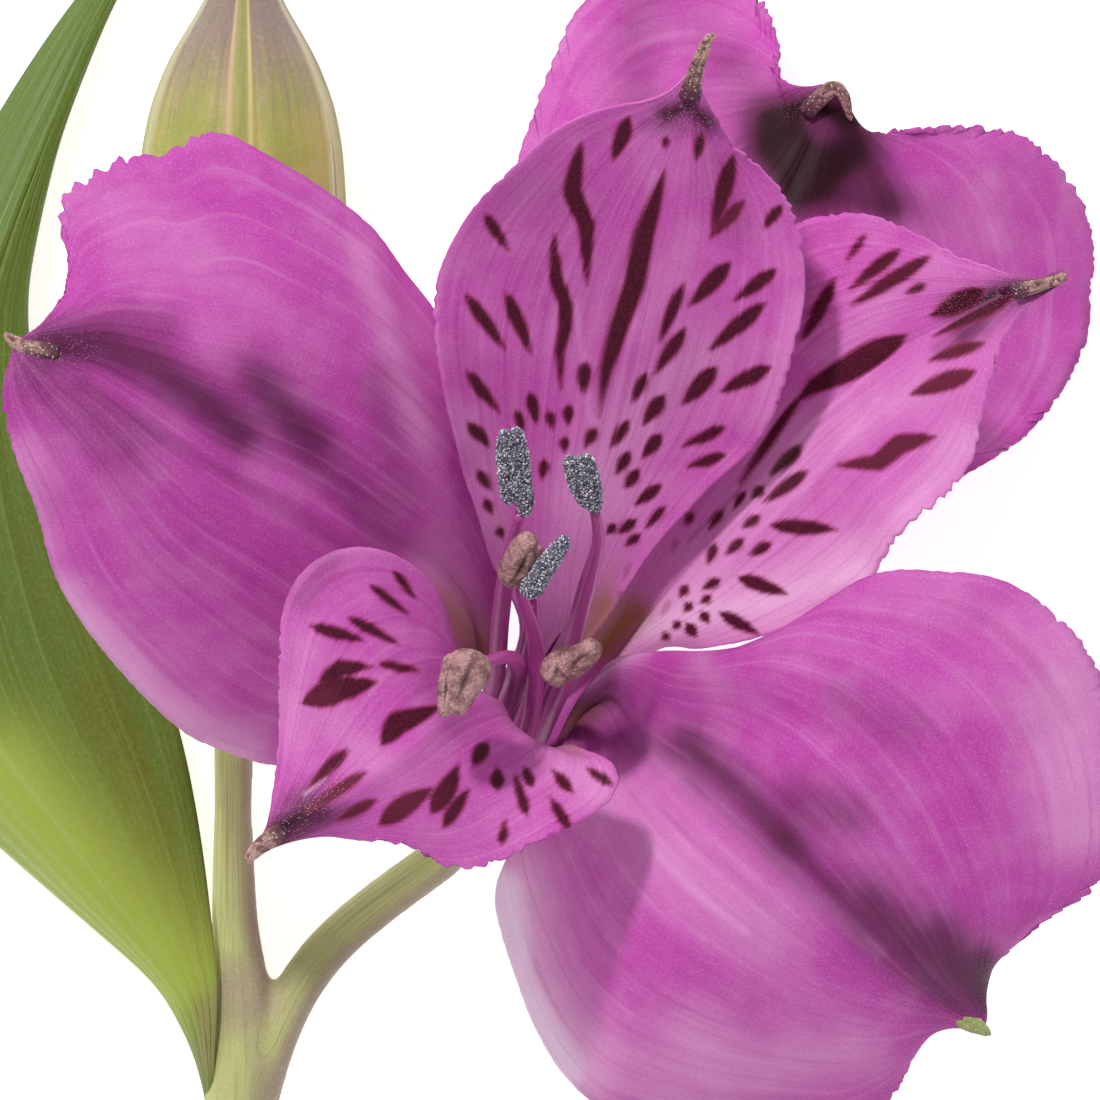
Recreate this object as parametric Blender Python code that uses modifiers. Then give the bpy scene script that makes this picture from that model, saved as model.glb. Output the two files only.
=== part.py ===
"""A cut alstroemeria stem lying on a table: stem, leaves, one bud and one open flower.

Every x and y below is in millimetres as seen from straight above, and every z is a height above the
table. The view is from EYE_HEIGHT, and seen() turns it into a true position. The open flower is six
tepals round an ovary whose axis leans, so that the flower looks up and its back tepal rests.
"""

import math

import bmesh
import bpy
import numpy as np
from mathutils import Vector

MM = 0.001

# The view that x and y are given in, and the part's own origin in it
EYE_HEIGHT = 528.0
TRUE_SCALE_HEIGHT = 28.0
ORIGIN = (-12.8, -61.7)

# Stem: the radius of each stalk, and the slope of the florist's cut at its end
STEM_RADIUS = 1.8
FLOWER_PEDICEL_RADIUS = 1.2
BUD_PEDICEL_RADIUS = 1.0
STEM_REST_HEIGHT = 1.72
STEM_LENGTH_BELOW_FORK = 122.0
CUT_SLOPE = 0.9
FORK = (-15.6, -24.4, 2.3)

# Open flower: the ring on top of the ovary that its tepals and stamens grow from
RING_CENTRE = (-2.85, -11.3, 9.5)
AXIS_LEAN = math.radians(45)
AXIS_HEADING = math.radians(60)
SEAT_GAP = 0.4
OUTER_RING_RADIUS = 3.55
INNER_RING_RADIUS = 2.5
STAMEN_RING_RADIUS = 1.4
OVARY_LENGTH = 6.0
OVARY_RADIUS = 3.8
TEPAL_THICKNESS = 0.7
OUTER_CLAW_WIDTH = 3.6
INNER_CLAW_WIDTH = 2.5
FILAMENT_RADIUS = 0.48
STYLE_RADIUS = 0.4

# Bud
BUD_LENGTH = 29.5
BUD_RADIUS = 5.3
BUD_BASE = (-15.6, 2.6, 5.2)
BUD_TIP_HEIGHT = 5.75
BUD_TEPAL_THICKNESS = 0.6
BUD_SEAMS = (20, 160, 290)
BUD_SEAM_WIDTH = 0.4

# Leaves
LEAF_THICKNESS = 0.7

# Mesh fineness
TEPAL_ROWS = 27
TEPAL_COLUMNS = 10
LEAF_ROWS = 22
LEAF_COLUMNS = 6

# Colours, as linear red, green and blue
MAGENTA = (0.50, 0.06, 0.42)
PALE_MAGENTA = (0.60, 0.15, 0.48)
STEM_GREEN = (0.33, 0.40, 0.12)
LEAF_GREEN = (0.13, 0.24, 0.03)
OVARY_GREEN = (0.20, 0.28, 0.08)
BUD_GREEN = (0.40, 0.36, 0.12)
FILAMENT_VIOLET = (0.42, 0.06, 0.32)
POLLEN_GREY = (0.20, 0.20, 0.25)
ANTHER_BROWN = (0.35, 0.18, 0.17)


def seen(x, y, z):
    """The true place, in millimetres, of a point that shows at x and y from the eye and lies at height z."""
    scale = (EYE_HEIGHT - z) / (EYE_HEIGHT - TRUE_SCALE_HEIGHT)
    return np.array((x * scale, y * scale, z))


def flower_axes():
    """The way the flower faces, and two directions square to it: down its back tepal, and across."""
    lean, heading = AXIS_LEAN, AXIS_HEADING
    facing = np.array((math.sin(lean) * math.cos(heading), math.sin(lean) * math.sin(heading), math.cos(lean)))
    back = np.array((math.cos(lean) * math.cos(heading), math.cos(lean) * math.sin(heading), -math.sin(lean)))
    return facing, back, np.cross(facing, back)


def on_ring(azimuth, radius, across=0.0, lift=SEAT_GAP):
    """A point of the ring round the flower's axis; azimuth 0 is towards the back tepal."""
    facing, back, side = flower_axes()
    angle = math.radians(azimuth)
    outward = math.cos(angle) * back + math.sin(angle) * side
    along = -math.sin(angle) * back + math.cos(angle) * side
    return seen(*RING_CENTRE) + lift * facing + radius * outward + across * along


def smooth_path(points, count):
    """Evenly spaced points along a smooth curve through the given ones."""
    points = np.asarray(points, float)
    padded = np.vstack((2 * points[0] - points[1], points, 2 * points[-1] - points[-2]))
    fine = []
    for before, start, end, after in zip(padded, padded[1:], padded[2:], padded[3:]):
        for t in np.linspace(0, 1, 16, endpoint=False):
            fine.append(
                start
                + 0.5 * t * (end - before)
                + t * t * (before - 2.5 * start + 2 * end - 0.5 * after)
                + t**3 * (1.5 * (start - end) + 0.5 * (after - before))
            )
    fine = np.array([*fine, points[-1]])
    reach = np.concatenate(([0.0], np.cumsum(np.linalg.norm(np.diff(fine, axis=0), axis=1))))
    wanted = np.linspace(0, reach[-1], count)
    return np.stack([np.interp(wanted, reach, fine[:, k]) for k in range(3)], axis=1)


def material(name, colour, roughness):
    made = bpy.data.materials.new(name)
    made.use_nodes = True
    shader = made.node_tree.nodes["Principled BSDF"]
    shader.inputs["Base Color"].default_value = (*colour, 1)
    shader.inputs["Roughness"].default_value = roughness
    shader.inputs["Metallic"].default_value = 0.0
    return made


def add_object(name, mesh, colour, roughness, parent):
    made = bpy.data.objects.new(name, mesh)
    parent.users_collection[0].objects.link(made)
    made.parent = parent
    made.data.materials.append(material(name, colour, roughness))
    return made


def grid_mesh(name, rows):
    """An open sheet through rows of points, split into triangles the same way all over."""
    mesh = bmesh.new()
    grid = [[mesh.verts.new(Vector(point) * MM) for point in row] for row in rows]
    for low, high in zip(grid, grid[1:]):
        for k in range(len(low) - 1):
            mesh.faces.new((low[k], low[k + 1], high[k + 1]))
            mesh.faces.new((low[k], high[k + 1], high[k]))
    data = bpy.data.meshes.new(name)
    mesh.to_mesh(data)
    mesh.free()
    return data


def blade(name, left, midrib, right, rows, columns, thickness, colour, parent, **form):
    """A thin leaf or tepal through its left edge, its midrib and its right edge.

    crease: 2 for a round section, nearer 1 for a folded one. swell: how far each half bulges off the
    straight, in millimetres. teeth: depth of the cut margin. toothed_from: where along it that starts.
    """
    crease, swell = form.get("crease", 1.8), form.get("swell", 0.0)
    teeth, toothed_from = form.get("teeth", 0.0), form.get("toothed_from", 0.45)
    left, midrib, right = (smooth_path(rail, rows) for rail in (left, midrib, right))
    sheet = []
    for i in range(rows):
        along = i / (rows - 1)
        ends = []
        for edge in (left[i], right[i]):
            outward = edge - midrib[i]
            outward /= max(np.linalg.norm(outward), 1e-6)
            cut = teeth * (i % 2) * min(1.0, max(0.0, (along - toothed_from) / 0.1)) * (along < 0.93)
            ends.append(edge - outward * cut)
        across = (ends[1] - ends[0]) / 2
        dip = (ends[0] + ends[1]) / 2 - midrib[i]
        tangent = midrib[min(i + 1, rows - 1)] - midrib[max(i - 1, 0)]
        normal = np.cross(across, tangent)
        normal /= max(np.linalg.norm(normal), 1e-6)
        bulge = swell * math.sin(math.pi * along)
        row = []
        for v in np.linspace(-1, 1, columns + 1):
            point = midrib[i] + across * v + dip * abs(v) ** crease
            row.append(point + normal * bulge * math.sin(math.pi * abs(v)))
        sheet.append(row)
    made = add_object(name, grid_mesh(name, sheet), colour, 0.55, parent)
    solid = made.modifiers.new("thickness", "SOLIDIFY")
    solid.thickness = thickness * MM
    solid.offset = 0.0
    return made


def rails_from(azimuth, radius, claw_width, left, midrib, right):
    """The three rails of a tepal, each starting on the ring and then going through the points given."""
    starts = [on_ring(azimuth, radius, across) for across in (claw_width / 2, 0.0, -claw_width / 2)]
    return [[start, *(seen(*point) for point in rail)] for start, rail in zip(starts, (left, midrib, right))]


def tepal(name, azimuth, whorl, left, midrib, right, parent, **form):
    radius, width, colour = {
        "outer": (OUTER_RING_RADIUS, OUTER_CLAW_WIDTH, MAGENTA),
        "inner": (INNER_RING_RADIUS, INNER_CLAW_WIDTH, PALE_MAGENTA),
    }[whorl]
    rails = rails_from(azimuth, radius, width, left, midrib, right)
    return blade(name, *rails, TEPAL_ROWS, TEPAL_COLUMNS, TEPAL_THICKNESS, colour, parent, **form)


def outer_left_tepal(parent):
    """The broad outer tepal on the left, its tip just inside its two lobes."""
    midrib = [
        (-3.9, -4.5, 16.5), (-5.5, -1.25, 21), (-9.1, 1.2, 26), (-12.5, 3.5, 29.5), (-16.1, 5.25, 32),
        (-19.1, 7, 33.5), (-22.25, 8.9, 34.5), (-25.2, 10.15, 35), (-26.6, 10.4, 35),
    ]
    lower = [
        (-5.4, -5.9, 16.8), (-7.8, -8.3, 18), (-10.5, -10, 19.5), (-13.6, -10.65, 21.5), (-17.5, -9.5, 24.5),
        (-21, -6.5, 27.5), (-24.5, -2, 30.5), (-25.85, 2.5, 32.5), (-27.25, 6, 34), (-27.4, 8, 34.6),
        (-26.9, 9.9, 35),
    ]
    upper = [
        (-3.1, -2.5, 15), (-3.7, 2.5, 17), (-4.75, 7.5, 20), (-6, 11.9, 23.5), (-10.25, 17.1, 28),
        (-14.3, 19.8, 31.2), (-16.2, 20.9, 31.8), (-18.1, 20.8, 32.4), (-19.4, 19.7, 32.8), (-21.4, 19.9, 33.2),
        (-23.2, 18.9, 33.6), (-24.7, 17.4, 34), (-24.2, 14.4, 34.5), (-24.6, 12.4, 34.8),
        (-25.6, 11, 35),
    ]
    return tepal("tepal_outer_left", 120, "outer", lower, midrib, upper, parent, swell=1.2, teeth=0.45)


def outer_right_tepal(parent):
    """The broad outer tepal at the lower right; its lower lobe droops."""
    midrib = [
        (2.5, -7.7, 16), (4.5, -9.75, 21), (7.5, -12.5, 25.5), (10.5, -15.4, 28), (14, -18.75, 27.5),
        (17.5, -21.5, 25.5), (20, -22.9, 23.5), (21.7, -23.8, 22.5),
    ]
    upper = [
        (2.4, -6.3, 15.8), (5.1, -5.2, 20.5), (8.75, -5.05, 25), (12.25, -3.7, 28.5), (16.4, -1.3, 31),
        (19.3, -1.05, 32), (23, -1.6, 32.5), (26.5, -4.3, 32.5), (28.4, -8.2, 32), (28.9, -12.4, 31),
        (28, -16.2, 29.5), (25, -18.6, 27.4), (22.4, -20.3, 25), (21.7, -22.3, 23.3),
    ]
    lower = [
        (1.6, -9.8, 14.5), (0.9, -12.5, 14), (-1.3, -14.75, 14), (-2.8, -16.8, 14), (-2.3, -19.9, 14),
        (-0.5, -24.4, 13.5), (1.3, -26.9, 13.2), (4.6, -28.5, 14), (10.5, -29.1, 17), (15, -28.8, 19.5),
        (17.5, -27.2, 21), (18.1, -25.4, 22), (19.2, -24, 22.4), (20.4, -23.5, 22.6), (21.3, -24.1, 22.5),
    ]
    return tepal("tepal_outer_right", -120, "outer", upper, midrib, lower, parent, swell=1.0, teeth=0.45)


def outer_back_tepal(parent):
    """The outer tepal behind the two upper inner ones. Its lobes droop until they touch the table."""
    midrib = [
        (2.5, -0.5, 12.5), (5.5, 5, 13.6), (8.25, 10.5, 13.4), (10.75, 15.5, 12.4), (12.75, 19.5, 11.6),
        (14.2, 23.3, 11.4),
    ]
    left = [
        (1, -0.5, 12.3), (0.1, 4.5, 13), (-1.2, 10, 12.2), (-2, 15, 10.5), (-1.6, 19.4, 8.4),
        (-0.1, 24.2, 5.2), (1.5, 27.1, 2.6), (4.2, 29.3, 0.75), (7.4, 29.6, 0.9), (10.2, 28.1, 3.4),
        (11.5, 25.9, 6.6), (10.9, 24.1, 9.2), (12.7, 22.5, 11),
    ]
    right = [
        (4.5, -1, 12.3), (9.5, 1.5, 13.4), (15, 3, 12.6), (19, 3.5, 10.6), (21.5, 4.1, 9),
        (24.5, 6.3, 5.6), (26.5, 9.5, 2.6), (27.3, 13, 0.75), (27, 16.4, 0.9), (25.6, 19.1, 2.6),
        (22.8, 21.2, 5.4), (19.2, 21.3, 8.2), (16.3, 20.5, 10.4), (14.9, 21.8, 11.2),
    ]
    return tepal("tepal_outer_back", 0, "outer", left, midrib, right, parent, swell=0.6, teeth=0.45)


def inner_upper_tepal(parent):
    """The long spotted inner tepal at the top, with its horned tip."""
    midrib = [
        (0.25, -4.5, 15.5), (1, -0.5, 19), (2, 4, 21.5), (3.1, 8.5, 23.8), (4.25, 13.5, 26.3),
        (5.6, 18, 28.5), (6.65, 21.25, 30.3), (7.25, 23.25, 31.4), (7.9, 25.7, 33),
    ]
    left = [
        (-1.5, -4.5, 16.4), (-3, -0.5, 20.8), (-4, 3, 24), (-5.25, 7, 27), (-5.85, 11, 28.8),
        (-5.5, 13.8, 29), (-4.25, 16.25, 29.6), (-2.25, 18.75, 30), (0.5, 21.3, 30.6), (3.5, 22.2, 31),
        (5.4, 22.6, 31.2), (6.6, 23.5, 31.6), (7.4, 25.6, 33),
    ]
    right = [
        (2, -4.5, 15.6), (5, -0.15, 19), (8.05, 3.15, 21.6), (10.7, 5.75, 24), (12.1, 9.1, 26),
        (12.7, 12.6, 27.6), (12.5, 15.75, 28.8), (11.5, 18, 29.6), (9.4, 20.2, 30.4), (8.3, 21.7, 31),
        (7.5, 23.2, 31.6), (8.3, 25.6, 33),
    ]
    return tepal("tepal_inner_upper", 52, "inner", left, midrib, right, parent, swell=-0.5, teeth=0.25)


def inner_right_tepal(parent):
    """The spotted inner tepal on the right, partly under the upper one."""
    midrib = [
        (4.05, -4.4, 14.2), (7, -1, 16.8), (10, 3, 19), (13, 6.5, 21), (16.5, 9.25, 23), (20, 11.25, 25),
        (22.75, 12.65, 26.6), (24.1, 13.15, 27.6), (25.7, 13.8, 29),
    ]
    upper = [
        (3.1, -2.6, 13.8), (5, 2.5, 16), (7.5, 7.5, 18), (9.75, 12.5, 20), (11.75, 15.9, 21.6),
        (13.65, 16.8, 22.6), (15.8, 16.85, 23.6), (17.9, 16.1, 24.8), (20, 14.8, 26), (22.5, 13.9, 27),
        (24, 13.45, 27.7), (25.6, 14.1, 29),
    ]
    lower = [
        (4.6, -5.5, 14.4), (7.5, -4.95, 17.8), (10.5, -4.4, 20.8), (14.05, -3, 23.6), (16.5, -1.2, 25.2),
        (17.7, 0.75, 26.2), (20, 2.95, 27), (21.2, 4.9, 27.4), (21.5, 7, 27.6), (22.1, 8.9, 27.8),
        (22.7, 10.6, 27.8), (23.7, 12, 27.8), (25.8, 13.5, 29),
    ]
    return tepal("tepal_inner_right", -52, "inner", upper, midrib, lower, parent, swell=0.5, teeth=0.25)


def inner_front_tepal(parent):
    """The short spotted inner tepal in front. It stands up from the ring, then folds over to the left."""
    midrib = [
        (-3.0, -10.6, 17), (-2.3, -8.9, 23), (-2.9, -7.7, 27.6), (-5, -8.4, 31.2), (-7.5, -10.35, 33.4),
        (-10.25, -12.25, 34.6), (-12.5, -13.75, 35), (-15, -15.25, 34.5),
    ]
    upper = [
        (-4.3, -9.3, 17.5), (-4.6, -6.4, 23), (-5, -3.5, 27.6), (-6.45, -1.05, 30.2), (-8.25, 0, 31.6),
        (-10, 0.15, 32.6), (-11.7, -0.5, 33.4), (-12.95, -1.95, 33.8), (-13.6, -4.5, 34.2),
        (-13.6, -8, 34.5), (-13.8, -11.5, 34.6), (-14.2, -14, 34.6), (-14.9, -15, 34.5),
    ]
    lower = [
        (-1.6, -11.6, 17.5), (-0.4, -10.6, 22.5), (1.2, -9.9, 26.6), (3, -10.4, 28.8), (3.4, -11.8, 29.6),
        (2, -13.25, 30.2), (-0.5, -14.75, 30.8), (-3.5, -16, 31.5), (-5.5, -15.9, 32), (-6.8, -15, 32.6),
        (-9, -14.5, 33.4), (-11.5, -14.3, 34.2), (-13.2, -14.45, 34.4), (-14.3, -14.95, 34.5),
        (-15, -15.45, 34.5),
    ]
    return tepal("tepal_inner_front", 180, "inner", upper, midrib, lower, parent, swell=0.5, teeth=0.25)


def tube(name, points, radii, sides_level, colour, parent, steps=None):
    """A round stalk along a smooth path with filled caps; radii lists (share of the length, radius)."""
    steps = steps or 4 * (len(points) - 1) + 1
    path = smooth_path(points, steps)
    curve = bpy.data.curves.new(name, "CURVE")
    curve.dimensions = "3D"
    curve.bevel_depth = MM
    curve.bevel_resolution = sides_level
    curve.use_fill_caps = True
    spline = curve.splines.new("POLY")
    spline.points.add(steps - 1)
    for k, point in enumerate(path):
        spline.points[k].co = (*(point * MM), 1)
        spline.points[k].radius = np.interp(k / (steps - 1), *zip(*radii))
    return add_object(name, curve, colour, 0.5, parent)


def as_mesh(curve_object):
    """The same stalk as a closed mesh, so that a Boolean can join it."""
    graph = bpy.context.evaluated_depsgraph_get()
    data = bpy.data.meshes.new_from_object(curve_object.evaluated_get(graph))
    welded = bmesh.new()
    welded.from_mesh(data)
    bmesh.ops.remove_doubles(welded, verts=welded.verts, dist=0.00001)
    welded.to_mesh(data)
    welded.free()
    made = bpy.data.objects.new(curve_object.name, data)
    curve_object.users_collection[0].objects.link(made)
    made.parent = curve_object.parent
    made.matrix_world = curve_object.matrix_world
    name = curve_object.name
    bpy.data.objects.remove(curve_object)
    made.name = name
    return made


def join_into(target, others):
    """Fuses the others into the target with one Boolean union, and removes them."""
    together = bpy.data.collections.new("joined_to_" + target.name)
    bpy.context.scene.collection.children.link(together)
    for other in others:
        together.objects.link(other)
    union = target.modifiers.new("join", "BOOLEAN")
    union.operation = "UNION"
    union.operand_type = "COLLECTION"
    union.collection = together
    bpy.context.view_layer.update()
    graph = bpy.context.evaluated_depsgraph_get()
    fused = bpy.data.meshes.new_from_object(target.evaluated_get(graph))
    target.modifiers.clear()
    target.data = fused
    for other in others:
        bpy.data.objects.remove(other)
    bpy.data.collections.remove(together)


def slant_cut(stalk, slope):
    """Leans the end cap with the lowest y, as a florist's knife leaves it."""
    mesh = stalk.data
    end = min(vertex.co.y for vertex in mesh.vertices)
    cap = [vertex for vertex in mesh.vertices if vertex.co.y < end + MM]
    middle = sum(vertex.co.x for vertex in cap) / len(cap)
    for vertex in cap:
        vertex.co.y += slope * (vertex.co.x - middle)


def stem(parent):
    """The main stem, which runs on into the bud's pedicel, and the flower's pedicel that forks off it."""
    x, y, z = FORK
    cut_end = y - STEM_LENGTH_BELOW_FORK
    main_path = [
        seen(x + 5.0, cut_end, STEM_REST_HEIGHT), seen(x + 2.6, y - 90, 2), seen(x + 0.4, y - 55, 2.5),
        seen(x - 0.2, y - 25, 2.6), seen(x, y - 6, 2.4), seen(x + 0.1, y, z), seen(-15.75, -19, 2.7),
        seen(-15.85, -14, 3.1), seen(-15.8, -8, 3.7), seen(-15.7, -3.2, 4.7),
    ]
    main_radii = (
        (0, STEM_RADIUS), (0.8, STEM_RADIUS - 0.05), (0.84, 1.9), (0.865, 1.75), (0.89, 1.25),
        (0.93, BUD_PEDICEL_RADIUS), (1, 1.15),
    )
    main = tube("stem", main_path, main_radii, 3, STEM_GREEN, parent, steps=45)
    facing = flower_axes()[0]
    ovary_foot = seen(*RING_CENTRE) - facing * (OVARY_LENGTH + SEAT_GAP)
    to_flower = [
        seen(-15.1, -28, 2.2), seen(-14.4, -25.7, 2.2), seen(-13.4, -23.3, 2.2), seen(-12.4, -21.6, 2.1),
        seen(-11.2, -20, 2.1), seen(-9.6, -18.5, 2.3), seen(-7.8, -17.1, 2.9), ovary_foot - 1.2 * facing,
        ovary_foot,
    ]
    flower_radii = ((0, 1.5), (0.35, FLOWER_PEDICEL_RADIUS), (1, 1.15))
    pedicel = tube("flower_pedicel", to_flower, flower_radii, 2, STEM_GREEN, parent)
    main, pedicel = as_mesh(main), as_mesh(pedicel)
    slant_cut(main, CUT_SLOPE)
    join_into(main, [pedicel])
    return main


def rings_mesh(name, rings):
    """A closed body skinned over rings of points, with a flat cap at each end."""
    mesh = bmesh.new()
    made = [[mesh.verts.new(Vector(point) * MM) for point in ring] for ring in rings]
    for low, high in zip(made, made[1:]):
        for k in range(len(low)):
            after = (k + 1) % len(low)
            mesh.faces.new((low[k], low[after], high[after]))
            mesh.faces.new((low[k], high[after], high[k]))
    mesh.faces.new(list(reversed(made[0])))
    mesh.faces.new(made[-1])
    bmesh.ops.recalc_face_normals(mesh, faces=mesh.faces)
    bmesh.ops.triangulate(mesh, faces=mesh.faces)
    data = bpy.data.meshes.new(name)
    mesh.to_mesh(data)
    mesh.free()
    return data


def lofted(name, start, end, profile, sides, lobes, lobe_depth, colour, roughness, parent, up=(0, 0, 1)):
    """A ribbed or lobed body from start to end; profile lists (share of the length, radius)."""
    start, end = np.asarray(start, float), np.asarray(end, float)
    along = (end - start) / np.linalg.norm(end - start)
    side = np.cross(along, up)
    side /= np.linalg.norm(side)
    other = np.cross(side, along)
    rings = []
    for share, radius in profile:
        ring = []
        for k in range(sides):
            angle = 2 * math.pi * k / sides
            reach = radius * (1 + lobe_depth * math.cos(lobes * angle))
            ring.append(start + (end - start) * share + reach * (math.cos(angle) * side + math.sin(angle) * other))
        rings.append(ring)
    return add_object(name, rings_mesh(name, rings), colour, roughness, parent)


def ovary(parent):
    """The six-ribbed green ovary between the flower's pedicel and its tepals."""
    facing = flower_axes()[0]
    top = seen(*RING_CENTRE)
    profile = ((0, 1.2), (0.12, 1.7), (0.35, 2.7), (0.65, 3.4), (0.88, OVARY_RADIUS), (1, 3.9))
    return lofted("ovary", top - OVARY_LENGTH * facing, top, profile, 24, 6, 0.07, OVARY_GREEN, 0.5, parent)


# Each stamen: its azimuth on the ring, the points of its filament, its anther's middle, its state
STAMENS = {
    "long_left": (90, [(-2.8, -6.8, 15.7), (-2.5, -3.6, 21.5), (-2.25, -0.6, 27), (-1.6, 1.7, 31.2)],
                  (-1.75, 4.0, 33.4), "burst"),
    "long_right": (-30, [(0.4, -7, 15), (1.25, -4, 20), (2.1, -0.9, 25.5), (2.5, 0.6, 29), (2.3, 1.6, 31)],
                   (1.5, 3.4, 32.8), "burst"),
    "middle": (-150, [(-1.1, -9.0, 19.5), (-0.75, -6.7, 24), (-0.6, -4.6, 27.5), (-1.6, -2.4, 31.8)],
               (-0.9, -0.75, 34), "bursting"),
    "low_left": (150, [(-2.7, -9.0, 17.5), (-1.7, -6.2, 23), (-1.9, -5.4, 30.5), (-2.9, -5.5, 34.5)],
                 (-4.35, -6.7, 36.4), "closed"),
    "low_right": (-90, [(-0.1, -8.4, 16.5), (0.7, -6.7, 22.5), (0.9, -5.9, 26.3)],
                  (1.2, -5.5, 29), "closed"),
    "hidden": (30, [(-1.8, -7.3, 15.2), (-1.05, -4.7, 19.2), (-0.5, -3.0, 21.6)],
               (-0.25, -2.0, 23.4), "young"),
}
FILAMENT_RADII = ((0, 0.42), (0.2, FILAMENT_RADIUS), (0.7, FILAMENT_RADIUS), (1, 0.25))
ANTHER_FORMS = {
    "burst": (((0, 0.35), (0.12, 0.8), (0.4, 1.0), (0.75, 0.9), (0.95, 0.55), (1, 0.3)), POLLEN_GREY),
    "bursting": (((0, 0.4), (0.12, 1.0), (0.4, 1.3), (0.75, 1.15), (0.95, 0.65), (1, 0.3)), POLLEN_GREY),
    "closed": (((0, 0.5), (0.12, 1.1), (0.4, 1.35), (0.75, 1.2), (0.95, 0.75), (1, 0.4)), ANTHER_BROWN),
    "young": (((0, 0.3), (0.15, 0.75), (0.4, 0.95), (0.75, 0.8), (0.95, 0.5), (1, 0.3)), ANTHER_BROWN),
}


def stamens(parent):
    """Six filaments, each with its own two-lobed anther: burst and dusty, bursting or still closed."""
    for name, (azimuth, points, anther_middle, state) in STAMENS.items():
        path = [on_ring(azimuth, STAMEN_RING_RADIUS), *(seen(*point) for point in points)]
        tube("filament_" + name, path, FILAMENT_RADII, 1, FILAMENT_VIOLET, parent, steps=10)
        foot, middle = path[-1], seen(*anther_middle)
        start = foot + SEAT_GAP * (middle - foot) / np.linalg.norm(middle - foot)
        profile, colour = ANTHER_FORMS[state]
        lofted("anther_" + name, start, 2 * middle - start, profile, 12, 2, 0.2, colour, 0.9, parent)


def style(parent):
    """The style that rises from the middle of the ring among the filaments."""
    points = [on_ring(0, 0), seen(-1.5, -8.7, 15), seen(-0.95, -7.1, 18.5), seen(-0.5, -5.9, 21)]
    radii = ((0, STYLE_RADIUS), (0.8, 0.35), (1, 0.45))
    return tube("style", points, radii, 1, FILAMENT_VIOLET, parent, steps=9)


def flower(parent):
    ovary(parent)
    outer_left_tepal(parent)
    outer_right_tepal(parent)
    outer_back_tepal(parent)
    inner_upper_tepal(parent)
    inner_right_tepal(parent)
    inner_front_tepal(parent)
    stamens(parent)
    style(parent)


def bud_girth(share):
    """Radius of the bud at a share of its length: a teardrop with a drawn-out tip."""
    shares = (0, 0.08, 0.2, 0.35, 0.5, 0.62, 0.7, 0.78, 0.88, 0.95, 1)
    return BUD_RADIUS * np.interp(share, shares, (0.42, 0.66, 0.88, 0.97, 1, 0.95, 0.86, 0.68, 0.34, 0.22, 0.17))


def table_cutter():
    """A slab whose top is the table, to press flat what rests on it."""
    guides = bpy.data.collections.new("cutters")
    bpy.context.scene.collection.children.link(guides)
    mesh = bmesh.new()
    bmesh.ops.create_cube(mesh, size=0.4)
    bmesh.ops.translate(mesh, verts=mesh.verts, vec=(0, 0, -0.2))
    data = bpy.data.meshes.new("table")
    mesh.to_mesh(data)
    mesh.free()
    slab = bpy.data.objects.new("table", data)
    guides.objects.link(slab)
    slab.hide_render = True
    slab.display_type = "WIRE"
    return slab


def bud(parent):
    """The closed bud: its ribbed ovary, three outer tepals edge to edge, and the furled inner ones."""
    base = seen(*BUD_BASE)
    tip = base + np.array((0.35, BUD_LENGTH, BUD_TIP_HEIGHT - BUD_BASE[2]))
    along = (tip - base) / np.linalg.norm(tip - base)
    side = np.cross(along, (0, 0, 1))
    side /= np.linalg.norm(side)
    over = np.cross(side, along)
    foot = seen(-15.7, -3.2, 4.7)
    ovary_start = foot + SEAT_GAP * (base - foot) / np.linalg.norm(base - foot)
    profile = ((0, 1.2), (0.3, 2), (0.7, 2.6), (1, 2.3))
    ovary_end = base - (SEAT_GAP + 0.1) * along
    lofted("bud_ovary", ovary_start, ovary_end, profile, 24, 6, 0.07, OVARY_GREEN, 0.5, parent)
    names = ("upper", "left", "right")
    for name, start, end in zip(names, BUD_SEAMS, (*BUD_SEAMS[1:], BUD_SEAMS[0] + 360)):
        sheet = []
        for share in np.linspace(0, 1, 16):
            girth = bud_girth(share)
            seam = math.asin(BUD_SEAM_WIDTH / 2 / (girth - BUD_TEPAL_THICKNESS / 2))
            angles = np.linspace(math.radians(start) + seam, math.radians(end) - seam, 8)
            middle = base + (tip - base) * share
            sheet.append([middle + girth * (math.cos(a) * side + math.sin(a) * over) for a in angles])
        made = add_object("bud_tepal_" + name, grid_mesh(name, sheet), BUD_GREEN, 0.5, parent)
        solid = made.modifiers.new("thickness", "SOLIDIFY")
        solid.thickness = BUD_TEPAL_THICKNESS * MM
        solid.offset = 0.0
        if name == "left":
            pressed = made.modifiers.new("rest_spot", "BOOLEAN")
            pressed.operation = "DIFFERENCE"
            pressed.object = table_cutter()
    profile = [(share, bud_girth(share) - 1.0) for share in (0.04, 0.12, 0.25, 0.4, 0.55, 0.7, 0.82)]
    lofted("bud_inner_tepals", base, tip, profile, 15, 3, 0.06, MAGENTA, 0.5, parent)


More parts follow.
